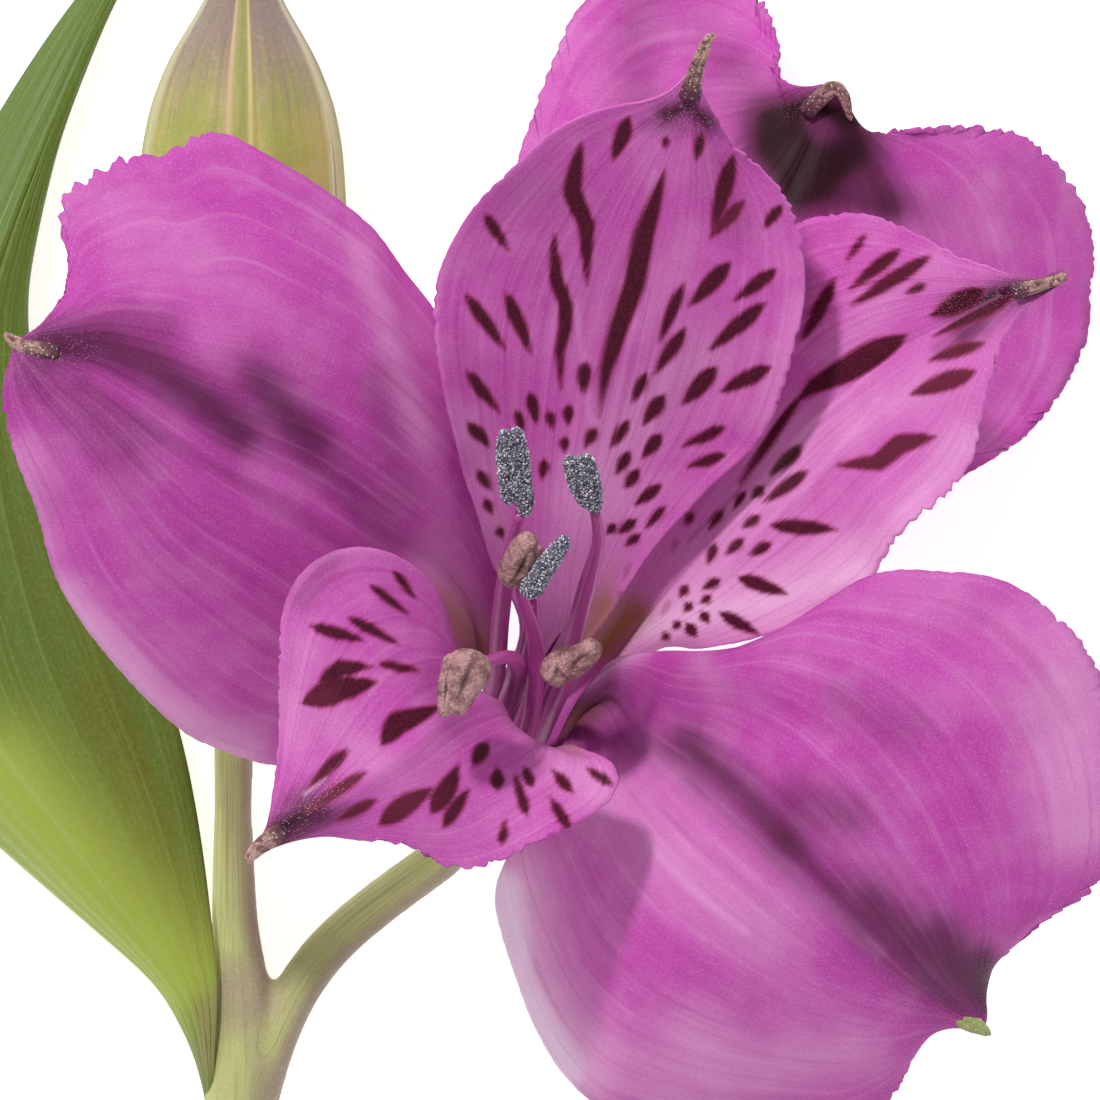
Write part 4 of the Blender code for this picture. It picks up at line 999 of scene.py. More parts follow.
def add_petals(context, whorl, colour, teeth, seed):
    """The three petals of a whorl, with their horns; each gets the next seed."""
    settings = context.scene.alstroemeria_petals
    skin, hard = petal_skin(whorl + "_petal", getattr(settings, colour)[:], settings), horn_skin(settings)
    for name, form in PETALS.items():
        if form["whorl"] == whorl:
            petal(name, form, teeth * settings.teeth / MM, seed, settings, skin)
            petal_horn(name, form, hard)
            seed += 1
    return {"FINISHED"}


class AlstroemeriaOuterPetals(bpy.types.Operator):
    """Adds the three plain outer petals"""

    bl_idname = "alstroemeria.outer_petals"
    bl_label = "Outer petals"

    def execute(self, context):
        return add_petals(context, "outer", "body_colour", 1.0, 1)


class AlstroemeriaInnerPetals(bpy.types.Operator):
    """Adds the three spotted inner petals"""

    bl_idname = "alstroemeria.inner_petals"
    bl_label = "Inner petals"

    def execute(self, context):
        return add_petals(context, "inner", "inner_colour", INNER_TEETH_SHARE, 11)


def tube_grid(path, radii, sides, flatness=1.0):
    """Rings of points round a path; the radii are given one for each of its points."""
    tangent = unit(np.gradient(path, axis=0))
    side = np.zeros_like(path)
    side[0] = unit(np.cross(tangent[0], (0.0, 0.0, 1.0) if abs(tangent[0][2]) < 0.9 else (0.0, 1.0, 0.0)))
    for k in range(1, len(path)):
        side[k] = unit(side[k - 1] - np.dot(side[k - 1], tangent[k]) * tangent[k])
    other = np.cross(tangent, side)
    angle = ring_angles(sides)[None, :, None]
    round_it = np.cos(angle) * side[:, None] + flatness * np.sin(angle) * other[:, None]
    return path[:, None] + np.asarray(radii)[:, None, None] * round_it


def closed_tube(name, grid, facts, skin, nodes):
    """A closed body through rings of points, with a capped point at each end."""
    rings, sides = grid.shape[:2]
    points = np.vstack((grid.reshape(-1, 3), grid[0].mean(0, keepdims=True), grid[-1].mean(0, keepdims=True)))
    faces = grid_faces(rings, sides, wrap=True).tolist()
    first, last = rings * sides, rings * sides + 1
    for k in range(sides):
        after = (k + 1) % sides
        faces.append((first, after, k))
        faces.append((last, (rings - 1) * sides + k, (rings - 1) * sides + after))
    kept = {}
    for label, values in facts.items():
        values = np.broadcast_to(values, (rings, sides))
        kept[label] = np.concatenate((values.ravel(), [values[0].mean(), values[-1].mean()]))
    add_piece(name, points, faces, kept, skin, nodes)


# Each stamen: its azimuth on the ring, the points of its filament, and the sacs of its anther as
# (foot, tip, radius, how much narrower the tip is, how much of it is covered in pollen)
STAMENS = {
    "long_left": (90, [(-2.8, -6.8, 15.7), (-2.5, -3.6, 21.5), (-2.1, -0.6, 27), (-1.5, 1.8, 31.2)],
                  [((-1.2, 1.75, 31.3), (-1.7, 6.1, 34.5), 0.5, 0.1, 1.0),
                   ((-1.95, 2.3, 31.6), (-2.3, 6.0, 34.5), 0.48, 0.1, 1.0)]),
    "long_right": (-30, [(0.4, -7, 15), (1.25, -4, 20), (2.1, -0.9, 25.5), (2.5, 0.6, 29), (2.25, 1.9, 31)],
                   [((2.25, 1.95, 31), (1.7, 4.75, 34), 0.46, -0.15, 1.0),
                    ((1.9, 2.2, 31.2), (0.95, 4.65, 33.9), 0.44, -0.1, 0.8)]),
    "middle": (-150, [(-1.1, -9.0, 19.5), (-0.75, -6.7, 24), (-0.7, -4.6, 27.5), (-1.5, -2, 32)],
               [((-2.1, -1.7, 32.5), (-0.95, 0.8, 34.9), 0.82, 0.1, 0.0),
                ((-1.25, -2.3, 33), (0.85, 0.65, 35.6), 0.6, 0.35, 1.0)]),
    "low_left": (150, [(-2.7, -9.0, 17.5), (-1.7, -6.2, 23), (-1.9, -5.4, 30.5), (-2.8, -5.4, 34.6),
                       (-3.5, -5.7, 35.8)],
                 [((-3.75, -5.0, 36), (-4.75, -8.25, 36.1), 1.24, 0.45, 0.0),
                  ((-4.7, -5.15, 36), (-5.35, -8.4, 36.1), 0.74, 0.4, 0.0)]),
    "low_right": (-90, [(-0.1, -8.4, 16.5), (0.7, -6.7, 22.5), (0.9, -5.9, 26.6)],
                  [((-0.15, -6.6, 28.3), (1.3, -4.95, 28.9), 0.88, 0.1, 0.0),
                   ((0.55, -6.1, 28.9), (2.45, -4.65, 29.7), 0.8, 0.1, 0.0)]),
    "hidden": (30, [(-1.8, -7.3, 15.2), (-1.05, -4.7, 19.2), (-0.9, -2.6, 22)],
               [((-0.9, -2.3, 22.2), (-0.7, 0.2, 25.2), 0.7, 0.1, 0.0)]),
}
STYLE = ((-1.5, -8.7, 15), (-0.95, -7.1, 18.5), (-0.5, -5.9, 21))
FILAMENT_RADII = ((0, 0.2, 0.7, 1), (0.42, 0.48, 0.46, 0.25))
STYLE_RADII = ((0, 0.8, 1), (0.4, 0.35, 0.42))
ANTHER_PROFILE = ((0, 0.03, 0.1, 0.25, 0.5, 0.75, 0.92, 0.98, 1),
                  (0.15, 0.5, 0.8, 0.96, 1, 0.9, 0.68, 0.4, 0.1))


def filament_skin(settings):
    """A smooth, slightly glassy stalk, paler towards its foot."""
    skin = Skin("filament", Specular_IOR_Level=0.45, Roughness=0.36)
    along = skin.fact("along")
    skin.colour = settings.filament_colour[:]
    skin.tint(linear(225, 170, 205), along, 0.9, 0.1, 0.0, 0.3)
    lines = skin.streaks(skin.fact("round"), 9.0, along, 3.0, 3.0)
    skin.tint(linear(140, 40, 115), lines, 0.45, 0.7, 0.0, 0.4)
    skin.bump((skin.noise(skin.place(), 8.0), 0.00003, 0.5))
    return skin.finish()


def anther_skin(settings):
    """The dry, finely pitted wall of an anther; 'dusty' darkens what shows between the pollen grains: grey
    dust in painted shade.
    """
    skin = Skin("anther_wall", Specular_IOR_Level=0.25)
    place = skin.place()
    pits = skin.cells(place, 6.5)
    mottle = skin.noise(place, 1.6, 4.0, 0.65)
    skin.colour = linear(128, 84, 88)
    skin.tint(settings.wall_colour[:], mottle, 0.36, 0.62)
    skin.tint(linear(98, 58, 66), pits, 0.08, 0.34, 0.4, 0.0)
    skin.tint(linear(216, 188, 182), skin.noise(place, 9.0, 2.0, 0.6), 0.55, 0.7, 0.0, 0.6)
    # Grey pollen dust, darkened as painted shade between the grains.
    dust = skin.mix(skin.between(mottle, 0.4, 0.6), linear(78, 74, 96), linear(126, 124, 138))
    skin.tint(dust, skin.fact("dusty"))
    skin.tint(linear(70, 44, 54), skin.fact("slit"))
    skin.bump((pits, 0.00006, 0.8), (mottle, 0.00012, 0.6))
    return skin.finish(mottle, 0.3, 0.7, 0.6, 0.8)


def pollen_skin(settings):
    """Pollen grains, each of a random tone from dark to nearly white."""
    skin = Skin("pollen_grains", Specular_IOR_Level=0.35, Roughness=0.6)
    tone = skin.fact("tone")
    grain = skin.noise(skin.place(), 22.0)
    skin.colour = linear(92, 90, 108)
    skin.tint(settings.pollen_colour[:], tone, 0.0, 0.45)
    skin.tint(linear(240, 240, 244), tone, 0.5, 0.95)
    skin.tint(linear(96, 96, 118), grain, 0.4, 0.65, 0.0, 0.25)
    skin.bump((grain, 0.00002, 0.5))
    return skin.finish()


def anther_sac(name, start, end, girth, taper, dusty, nodes, seed, skin):
    """One sac of an anther, with a slit down its upper side. Returns its rings of points."""
    chance = np.random.default_rng(seed)
    along = (1 - np.cos(np.linspace(0, np.pi, SAC_RINGS))) / 2
    inside = np.sin(np.pi * along)[:, None]
    path = start + (end - start) * along[:, None]
    radii = girth * np.interp(along, *ANTHER_PROFILE) * (1 - taper * along)
    grid = tube_grid(path, radii, SAC_SIDES, SAC_FLATNESS)
    angle = ring_angles(SAC_SIDES)[None, :]
    drift = 0.25 * waves(10, 4, chance)[np.linspace(0, WAVE_POINTS - 1, SAC_RINGS).astype(int)]
    slit = np.exp(-(((angle - 1.5 * np.pi - 0.2 - drift[:, None]) / 0.13) ** 2)) * inside**2
    turns = 2 * angle + 5 * along[:, None] + chance.uniform(0, 6)
    lumps = 0.05 * np.sin(turns) + 0.04 * np.sin(3 * angle - 9 * along[:, None] + chance.uniform(0, 6))
    shape = 1 - 0.3 * slit + lumps * inside**0.4
    grid = path[:, None] + (grid - path[:, None]) * shape[..., None]
    closed_tube("anther_sac_" + name, grid, {"slit": slit, "dusty": dusty}, skin, nodes)
    return grid


def grain_form():
    """The corners and faces of one small round grain of radius 1."""
    ball = bmesh.new()
    bmesh.ops.create_icosphere(ball, subdivisions=1, radius=1.0)
    corners = np.array([vertex.co[:] for vertex in ball.verts])
    faces = np.array([[vertex.index for vertex in face.verts] for face in ball.faces])
    ball.free()
    return corners, faces


def pollen(name, grid, settings, share, seed, skin):
    """Covers a burst sac with small half-sunk grains, spread evenly over its area."""
    chance = np.random.default_rng(seed)
    rings, sides = grid.shape[:2]
    corners, faces = grain_form()
    normals = unit(grid - grid.mean(axis=1, keepdims=True))
    width = np.linalg.norm(grid - np.roll(grid, 1, axis=1), axis=-1)
    height = np.linalg.norm(np.gradient(grid, axis=0), axis=-1)
    odds = (width * height).ravel()
    picked = chance.choice(rings * sides, int(settings.grains * share), p=odds / odds.sum())
    ring, column = np.divmod(picked, sides)
    slide = chance.uniform(0, 0.95, (2, len(picked), 1))
    here = grid[ring, column]
    below = grid[np.minimum(ring + 1, rings - 1), column]
    beside = grid[ring, (column + 1) % sides]
    centre = here + slide[0] * (below - here) + slide[1] * (beside - here)
    size = settings.grain / MM * chance.uniform(0.7, 1.4, len(picked))
    centre = centre + normals[ring, column] * (size * chance.uniform(0.1, 1.1, len(picked)))[:, None]
    points = centre[:, None] + corners[None] * size[:, None, None]
    all_faces = faces[None] + (np.arange(len(picked)) * len(corners))[:, None, None]
    facts = {"tone": np.repeat(chance.uniform(0, 1, len(picked)), len(corners))}
    add_piece("pollen_" + name, points.reshape(-1, 3), all_faces.reshape(-1, 3).tolist(), facts, skin, [])


class AlstroemeriaStamens(bpy.types.Operator):
    """Adds the six stamens with their pollen, and the style"""

    bl_idname = "alstroemeria.stamens"
    bl_label = "Stamens and style"

    def execute(self, context):
        settings = context.scene.alstroemeria_stamens
        stalk, wall, dust = filament_skin(settings), anther_skin(settings), pollen_skin(settings)
        along = np.linspace(0, 1, STALK_RINGS)
        facts = {"along": along[:, None], "round": np.linspace(0, 1, STALK_SIDES)[None, :]}
        for seed, (name, (azimuth, points, sacs)) in enumerate(STAMENS.items(), 21):
            knots = [on_ring(azimuth, STAMEN_RING_RADIUS), *(seen(*point) for point in points)]
            path = eased(smooth_path(knots, STALK_RINGS), 3)
            grid = tube_grid(path, np.interp(along, *FILAMENT_RADII), STALK_SIDES)
            closed_tube("stalk_" + name, grid, facts, stalk, ["filament_" + name])
            for number, (foot, top, girth, taper, dusty) in enumerate(sacs):
                sac = name + ("_second" if number else "")
                nodes = [] if number else ["anther_" + name]
                shape = anther_sac(sac, seen(*foot), seen(*top), girth, taper, dusty, nodes,
                                   10 * seed + number, wall)
                if dusty:
                    pollen(sac, shape, settings, dusty, seed + number, dust)
        path = smooth_path([on_ring(0, 0), *(seen(*point) for point in STYLE)], STALK_RINGS)
        grid = tube_grid(path, np.interp(along, *STYLE_RADII), STALK_SIDES)
        closed_tube("style_stalk", grid, facts, stalk, ["style"])
        return {"FINISHED"}


def ribbed_body(name, start, end, profile, size, ribs, shade, skin, node):
    """A closed straight ribbed body. size is its rings and sides, ribs their number and their depth."""
    rings, sides = size
    share = np.linspace(0, 1, rings)
    along = unit(end - start)
    side = unit(np.cross(along, (0.0, 0.0, 1.0)))
    other = np.cross(side, along)
    angle = ring_angles(sides)
    reach = np.interp(share, *zip(*profile))[:, None] * (1 + ribs[1] * np.cos(ribs[0] * angle))[None, :]
    round_it = np.cos(angle)[:, None] * side + np.sin(angle)[:, None] * other
    grid = start + (end - start) * share[:, None, None] + reach[..., None] * round_it[None]
    facts = {"along": share[:, None], "round": np.linspace(0, 1, sides)[None, :], "shade": shade}
    closed_tube(name, grid, facts, skin, [node])


def green_skin(name, base, second, third, young=None):
    """Smooth green tissue, finely lined lengthwise; 'shade' lays on the second colour, and the last colour is
    painted light.
    """
    skin = Skin(name, Specular_IOR_Level=0.4)
    place = skin.place()
    lines = skin.streaks(skin.fact("round"), 42.0, skin.fact("along"), 1.6, 3.0, 0.6)
    mottle = skin.noise(place, 0.5, 4.0, 0.6)
    fine = skin.noise(place, 6.0, 2.0, 0.6)
    skin.colour = base
    # Painted light: the last colour lightens the piece where its own fact says.
    if young:
        skin.tint(young, skin.fact("young"))
    skin.tint(second, skin.maths("ADD", skin.fact("shade"), skin.swing(mottle, 0.5), clamp=True))
    skin.tint(third, lines, 0.45, 0.7, 0.0, 0.5)
    skin.tint(linear(225, 228, 190), fine, 0.45, 0.8, 0.0, 0.22)
    skin.bump((fine, 0.00003, 0.4), (lines, 0.0001, 0.5))
    return skin.finish(mottle, 0.3, 0.7, 0.42, 0.55)


def stem_skeleton():
    """The knots and radii of the main stem, which runs on into the bud's pedicel, and of the flower's."""
    x, y, z = FORK
    main = [
        seen(x + 5.0, y - STEM_LENGTH_BELOW_FORK, STEM_REST_HEIGHT), seen(x + 2.6, y - 90, 2),
        seen(x + 0.4, y - 55, 2.5), seen(x - 0.2, y - 25, 2.6), seen(x, y - 6, 2.4), seen(x + 0.1, y, z),
        seen(-15.75, -19, 2.7), seen(-15.85, -14, 3.1), seen(-15.8, -8, 3.7), seen(*BUD_FOOT),
    ]
    facing = flower_axes()[0]
    in_ovary = seen(*RING_CENTRE) - facing * (OVARY_LENGTH - SEAT_DEPTH)
    branch = [
        seen(-15.1, -28, 2.2), seen(-14.4, -25.7, 2.2), seen(-13.4, -23.3, 2.2), seen(-12.4, -21.6, 2.1),
        seen(-11.2, -20, 2.1), seen(-9.6, -18.5, 2.3), seen(-7.8, -17.1, 2.9),
        in_ovary - 1.2 * facing, in_ovary,
    ]
    return (main, STEM_RADII, STEM_RINGS), (branch, BRANCH_RADII, BRANCH_RINGS)


def joined_stem():
    """The points and faces of the forked stem, its two stalks fused into one skin, and the stalks' paths."""
    tubes, paths = [], []
    for knots, radii, rings in stem_skeleton():
        path = eased(smooth_path(knots, rings), 4)
        grid = tube_grid(path, np.interp(np.linspace(0, 1, rings), *radii), STEM_SIDES)
        if not paths:
            lean = (grid[0, :, 0] - grid[0, :, 0].mean()) * CUT_SLOPE
            grid[:len(CUT_EASING), :, 1] += lean * np.array(CUT_EASING)[:, None]
        faces = grid_faces(rings, STEM_SIDES, wrap=True).tolist()
        faces.append(list(range(STEM_SIDES))[::-1])
        faces.append(list(range((rings - 1) * STEM_SIDES, rings * STEM_SIDES)))
        tubes.append(add_mesh("stalk", grid.reshape(-1, 3), faces))
        paths.append(path)
    whole = tubes[0]
    joining = bmesh.new()
    for tube in tubes:
        joining.from_mesh(tube.data)
    joining.to_mesh(whole.data)
    joining.free()
    fuse = whole.modifiers.new("fuse", "REMESH")
    fuse.mode = "VOXEL"
    fuse.voxel_size = STEM_VOXEL * MM
    ease = whole.modifiers.new("ease", "SMOOTH")
    ease.iterations = 6
    ease.factor = 0.5
    done = whole.evaluated_get(bpy.context.evaluated_depsgraph_get()).to_mesh()
    points = np.array([vertex.co[:] for vertex in done.vertices]) / MM + ORIGIN
    faces = [list(polygon.vertices) for polygon in done.polygons]
    for tube in tubes:
        bpy.data.objects.remove(tube)
    return points, faces, paths


def nearest_on(points, path):
    """For each point, how far along the path its nearest place is, and the offset from it: aside and up."""
    ahead = unit(np.gradient(path, axis=0))
    aside = unit(np.cross(ahead, (0.0, 0.0, 1.0)))
    reach = run_along(path)
    run, offset = np.zeros(len(points)), np.zeros((len(points), 2))
    for first in range(0, len(points), POINTS_AT_A_TIME):
        part = slice(first, first + POINTS_AT_A_TIME)
        index = np.linalg.norm(points[part, None] - path[None], axis=-1).argmin(axis=1)
        gap = points[part] - path[index]
        run[part] = reach[index] + np.sum(gap * ahead[index], axis=1)
        offset[part, 0] = np.sum(gap * aside[index], axis=1)
        offset[part, 1] = gap[:, 2]
    return run, offset


def stalk_facts(run, offset):
    """For points of a stalk: how far along it and round it they are, and how much on its blushed side away
    from the lamp.
    """
    # That side is darker and browner: partly the stalk's own blush, partly painted shade away from the lamp.
    aside = unit(offset)[:, 0]
    return np.stack((run / LINE_STRETCH, np.arccos(aside) / np.pi, ramp(aside, 0.1, 0.85)))


class AlstroemeriaStem(bpy.types.Operator):
    """Adds the forked stem and the flower's ovary"""

    bl_idname = "alstroemeria.stem"
    bl_label = "Stem and ovary"

    def execute(self, context):
        settings = context.scene.alstroemeria_greens
        # The last colour is painted light, laid on the stalks above the fork, under the flower.
        skin = green_skin("stem_skin", settings.stem_colour[:], settings.stem_shade_colour[:],
                          linear(140, 148, 76), linear(232, 236, 158))
        points, faces, (main, branch) = joined_stem()
        main_run, main_offset = nearest_on(points, main)
        branch_run, branch_offset = nearest_on(points, branch)
        nearer = np.linalg.norm(main_offset, axis=1) - np.linalg.norm(branch_offset, axis=1)
        on_branch = ramp(nearer, -0.4, 0.6) * ramp(branch_run, 0.5, 4.0)
        branch_run += nearest_on(branch[:1], main)[0]
        by_main, by_branch = stalk_facts(main_run, main_offset), stalk_facts(branch_run, branch_offset)
        along, turn, blush = by_main + (by_branch - by_main) * on_branch
        # Painted shade: the stem grows darker and browner towards the crotch of the fork.
        crotch = np.linalg.norm(points - seen(*CROTCH), axis=1)
        facts = {
            "along": along,
            "round": turn,
            "shade": 0.85 * np.maximum(blush, 0.7 * ramp(-crotch, -3.2, -1.2)),
            # Painted light: the stalks above the fork, which lie under the flower, are lightened towards pale
            # yellow-green.
            "young": 0.75 * ramp(points[:, 1], FORK[1] + 2.5, FORK[1] + 7),
        }
        add_piece("stem_skin", points, faces, facts, skin, ["stem"])
        top = seen(*RING_CENTRE)
        shade = 0.3 * (1 + np.cos(OVARY_RIBS[0] * ring_angles(OVARY_SIZE[1])))[None, :]
        green = green_skin("ovary_skin", linear(120, 138, 78), linear(96, 82, 70), linear(84, 104, 52))
        ribbed_body("ovary_ribbed", top - OVARY_LENGTH * flower_axes()[0], top, OVARY_PROFILE, OVARY_SIZE,
                    OVARY_RIBS, shade, green, "ovary")
        return {"FINISHED"}


# The rails of the leaf at the fork, and the soft patches of its colours
LEAF_AT_FORK = {
    "outer": [
        (-17, -28.2, 2.2), (-17.4, -26.4, 2.6), (-17.9, -24.8, 3), (-18.6, -23.4, 3.1), (-19.5, -21.8, 3),
        (-21.6, -19.9, 2.8), (-25.3, -16.8, 3.2), (-30, -12.3, 3.6), (-33, -7, 4), (-34.2, -2, 4.2),
        (-34, 3.5, 4), (-33, 8.5, 3.6), (-31.4, 13.5, 3), (-29.4, 18.5, 2.4), (-27.2, 22.4, 1.9),
        (-24.2, 26.9, 1.3), (-21.2, 30.6, 1),
    ],
    "midrib": [
        (-16.9, -28.2, 2.6), (-17.1, -26.4, 3.2), (-17.5, -24.6, 3.8), (-18.2, -22.4, 4.4), (-20.2, -19.5, 5),
        (-22.6, -16.5, 6), (-25, -13.2, 6.8), (-27.5, -10, 7.4), (-29.5, -6, 7.8), (-30.4, -1, 7.8),
        (-30.4, 4, 7.2), (-29.8, 9, 6.2), (-28.6, 13.5, 5), (-27, 17.5, 3.8), (-25.6, 20.6, 3),
        (-23, 26.2, 1.8), (-20.6, 30.4, 1.2),
    ],
    "inner": [
        (-16.8, -28.2, 2.9), (-16.8, -26.4, 3.6), (-16.75, -24.4, 4.3), (-16.65, -21.5, 4.7),
        (-17.2, -16.5, 4.3), (-17.8, -12.5, 4), (-18.5, -9.2, 3.9), (-19.8, -5, 4.2), (-21.8, -0.5, 4.6),
        (-24, 3.6, 4.8), (-25.5, 7.6, 4.4), (-26.1, 11.8, 3.6), (-25.7, 15.5, 3), (-24.8, 19.8, 2.4),
        (-23.4, 23.6, 1.8), (-21.8, 27.4, 1.4), (-20, 30.4, 1),
    ],
}
# 'light' is painted light on the half of the leaf facing the lamp, 'deep' painted shade along its other half;
# 'brown' is the leaf's own foot.
LEAF_PATCHES = {
    "light": (((0, 780), (60, 850), (120, 920), (175, 985), 62, 0.95), ((20, 900), (120, 960), 40, 0.5)),
    "deep": (((100, 700), (150, 820), (190, 920), (212, 1005), 30, 0.75),),
    "brown": (((212, 1010), (214, 1060), 20, 0.75),),
}
LEAF_SHEET = (200, 48)
# The two lower leaves: the name, where it leaves the stem, its heading, its length and its width
LOWER_LEAVES = (
    ("leaf_middle", (-13.4, -64, 3), math.radians(28), 62, 13),
    ("leaf_lower", (-16.5, -98, 3), math.radians(144), 54, 11),
)
LOWER_LEAF_SHEET = (140, 36)
LEAF_STATIONS = 11
LEAF_ARCH = 7.5
LEAF_CURL = 5
LEAF_TIP_HEIGHT = 0.9
LEAF_LOWEST = 0.75
LEAF_RIBS = 9


def stem_leaf_rails(base, heading, length, width):
    """The rails of a lance-shaped leaf that leaves the stem at heading, arches up and comes down."""
    ahead = np.array((math.cos(heading), math.sin(heading), 0))
    aside = np.array((-math.sin(heading), math.cos(heading), 0))
    rails = ([], [], [])
    for share in np.linspace(0, 1, LEAF_STATIONS):
        height = base[2] + LEAF_ARCH * math.sin(math.pi * share) - (base[2] - LEAF_TIP_HEIGHT) * share
        middle = base + ahead * length * share + aside * (LEAF_CURL * share * share)
        half = width / 2 * max(0.11, math.sin(math.pi * share**0.8) ** 0.8)
        droop = 0.32 * half + 0.5 * math.sin(5 * math.pi * share)
        for rail, across in zip(rails, (half, 0.0, -half)):
            x, y, _ = middle + aside * across
            rail.append(np.array((x, y, max(LEAF_LOWEST, height - droop * (across != 0)))))
    return rails


def leaf_skin(settings):
    """A leaf with close parallel veins, a waxy bloom, painted light on its bright half and painted shade in a
    deep green band.
    """
    skin = Skin("leaf_skin", Specular_IOR_Level=0.42)
    across, along = skin.fact("across"), skin.fact("along")
    veins = skin.streaks(across, 26.0, along, 1.4, 3.0, 0.6)
    fine = skin.noise(skin.place(), 5.0, 2.0, 0.6)
    deep = settings.leaf_deep_colour[:]
    skin.colour = settings.leaf_colour[:]
    skin.tint(deep, skin.streaks(across, 5.0, along, 1.2, 2.0, z=7.0), 0.38, 0.66, 0.0, 0.5)
    # Painted shade ('deep') and painted light ('light') on the two halves of the blade.
    skin.tint(deep, skin.fact("deep"))
    skin.tint(settings.leaf_bright_colour[:], skin.fact("light"))
    skin.tint(linear(146, 168, 70), veins, 0.5, 0.68, 0.0, 0.35)
    skin.tint(linear(168, 190, 98), skin.maths("ABSOLUTE", across), 0.0, 0.06, 0.55, 0.0)
    skin.tint(linear(150, 140, 92), skin.fact("brown"))
    skin.tint(linear(190, 205, 140), fine, 0.4, 0.85, 0.0, 0.12)
    skin.bump((fine, 0.00004, 0.4), (veins, 0.00012, 0.6))
    return skin.finish(fine, 0.3, 0.7, 0.4, 0.52)


def leaf(name, rails, size, settings, seed, skin):
    """One leaf, its blade finely ribbed from end to end and its edges lightly waved."""
    rows, columns = size
    rails = [eased(smooth_path(rail, rows), 3) for rail in rails]
    grid, along, v = sheet_grid(*rails, columns, 1.5, 0.0)
    ribs = 0.05 * np.cos(v * np.pi * LEAF_RIBS)
    groove = -0.2 * np.exp(-((v / 0.07) ** 2))
    wave = wave_at(along, 40, 5, np.random.default_rng(seed)) * 0.18
    above_table = ramp(grid[..., 2], 1.2, 2.4)
    shape = (ribs + groove)[None, :] * np.sin(np.pi * along)[:, None] ** 0.5
    shape = shape + wave[:, None] * (v * v * v)[None, :] * np.sin(np.pi * along)[:, None]
    grid = grid + grid_normals(grid) * (shape * above_table)[..., None]
    thickness = (settings.leaf_thickness / MM) * (1 - 0.5 * ramp(np.abs(v), 0.5, 1.0))[None, :]
    facts = {
        "along": along[:, None],
        "across": v[None, :],
        # Painted light on the left half and painted shade on the right half, as the blade's two sides face
        # the lamp.
        "light": 0.6 * ramp(-v, 0.2, 0.6)[None, :],
        "deep": 0.4 * ramp(v, 0.1, 0.5)[None, :],
        "brown": 0.6 * ramp(along, 0.1, 0.0)[:, None],
    }
    if name == "leaf_at_fork":
        for label, strokes in LEAF_PATCHES.items():
            facts[label] = soft_patches(spots(grid), strokes)
    thick_sheet(name.replace("leaf", "blade"), grid, thickness, facts, (0.0, 1.0), skin, name)


class AlstroemeriaLeaves(bpy.types.Operator):
    """Adds the leaf at the fork and the two lower leaves"""

    bl_idname = "alstroemeria.leaves"
    bl_label = "Leaves"

    def execute(self, context):
        settings = context.scene.alstroemeria_greens
        skin = leaf_skin(settings)
        rails = [[seen(*point) for point in rail] for rail in LEAF_AT_FORK.values()]
        leaf("leaf_at_fork", rails, LEAF_SHEET, settings, 31, skin)
        for seed, (name, base, *form) in enumerate(LOWER_LEAVES, 32):
            leaf(name, stem_leaf_rails(seen(*base), *form), LOWER_LEAF_SHEET, settings, seed, skin)
        return {"FINISHED"}


def bud_girth(share):
    """Radius of the bud at a share of its length: a teardrop with a drawn-out tip."""
    return BUD_RADIUS * np.interp(share, *zip(*BUD_PROFILE))


def bud_skin(settings):
    """A closed bud's green petals, blushed mauve towards the tip, with pale margins and a green midline."""
    skin = Skin("bud_skin", Specular_IOR_Level=0.35)
    across, along = skin.fact("across"), skin.fact("along")
    place = skin.place()
    lines = skin.streaks(across, 15.0, along, 1.8, 3.0, 0.6)
    fine = skin.noise(place, 5.0, 2.0, 0.6)
    mottle = skin.noise(place, 0.45, 3.0, 0.55)
    aside = skin.maths("ABSOLUTE", across)
    skin.colour = settings.bud_colour[:]
    skin.tint(linear(158, 162, 78), mottle, 0.35, 0.65)
    skin.tint(settings.bud_blush_colour[:], skin.plus(along, skin.swing(lines, 0.22)), 0.62, 0.84, 0.0, 0.9)
    skin.tint(linear(138, 128, 66), lines, 0.5, 0.7, 0.0, 0.3)
    skin.tint(linear(196, 186, 118), aside, 0.02, 0.22, 0.45, 0.0)
    skin.tint(linear(140, 146, 66), aside, 0.02, 0.06, 0.75, 0.0)
    for side, colour in ((0.085, linear(208, 170, 146)), (-0.085, linear(218, 212, 132))):
        from_side = skin.maths("ABSOLUTE", skin.maths("SUBTRACT", across, side))
        skin.tint(colour, from_side, 0.01, 0.035, 0.75, 0.0)
    skin.tint(linear(214, 208, 168), aside, 0.82, 1.0, 0.0, 0.75)
    skin.tint(linear(216, 206, 170), fine, 0.4, 0.85, 0.0, 0.2)
    skin.bump((fine, 0.00004, 0.5), (lines, 0.0001, 0.5))
    return skin.finish(mottle, 0.3, 0.7, 0.45, 0.6)


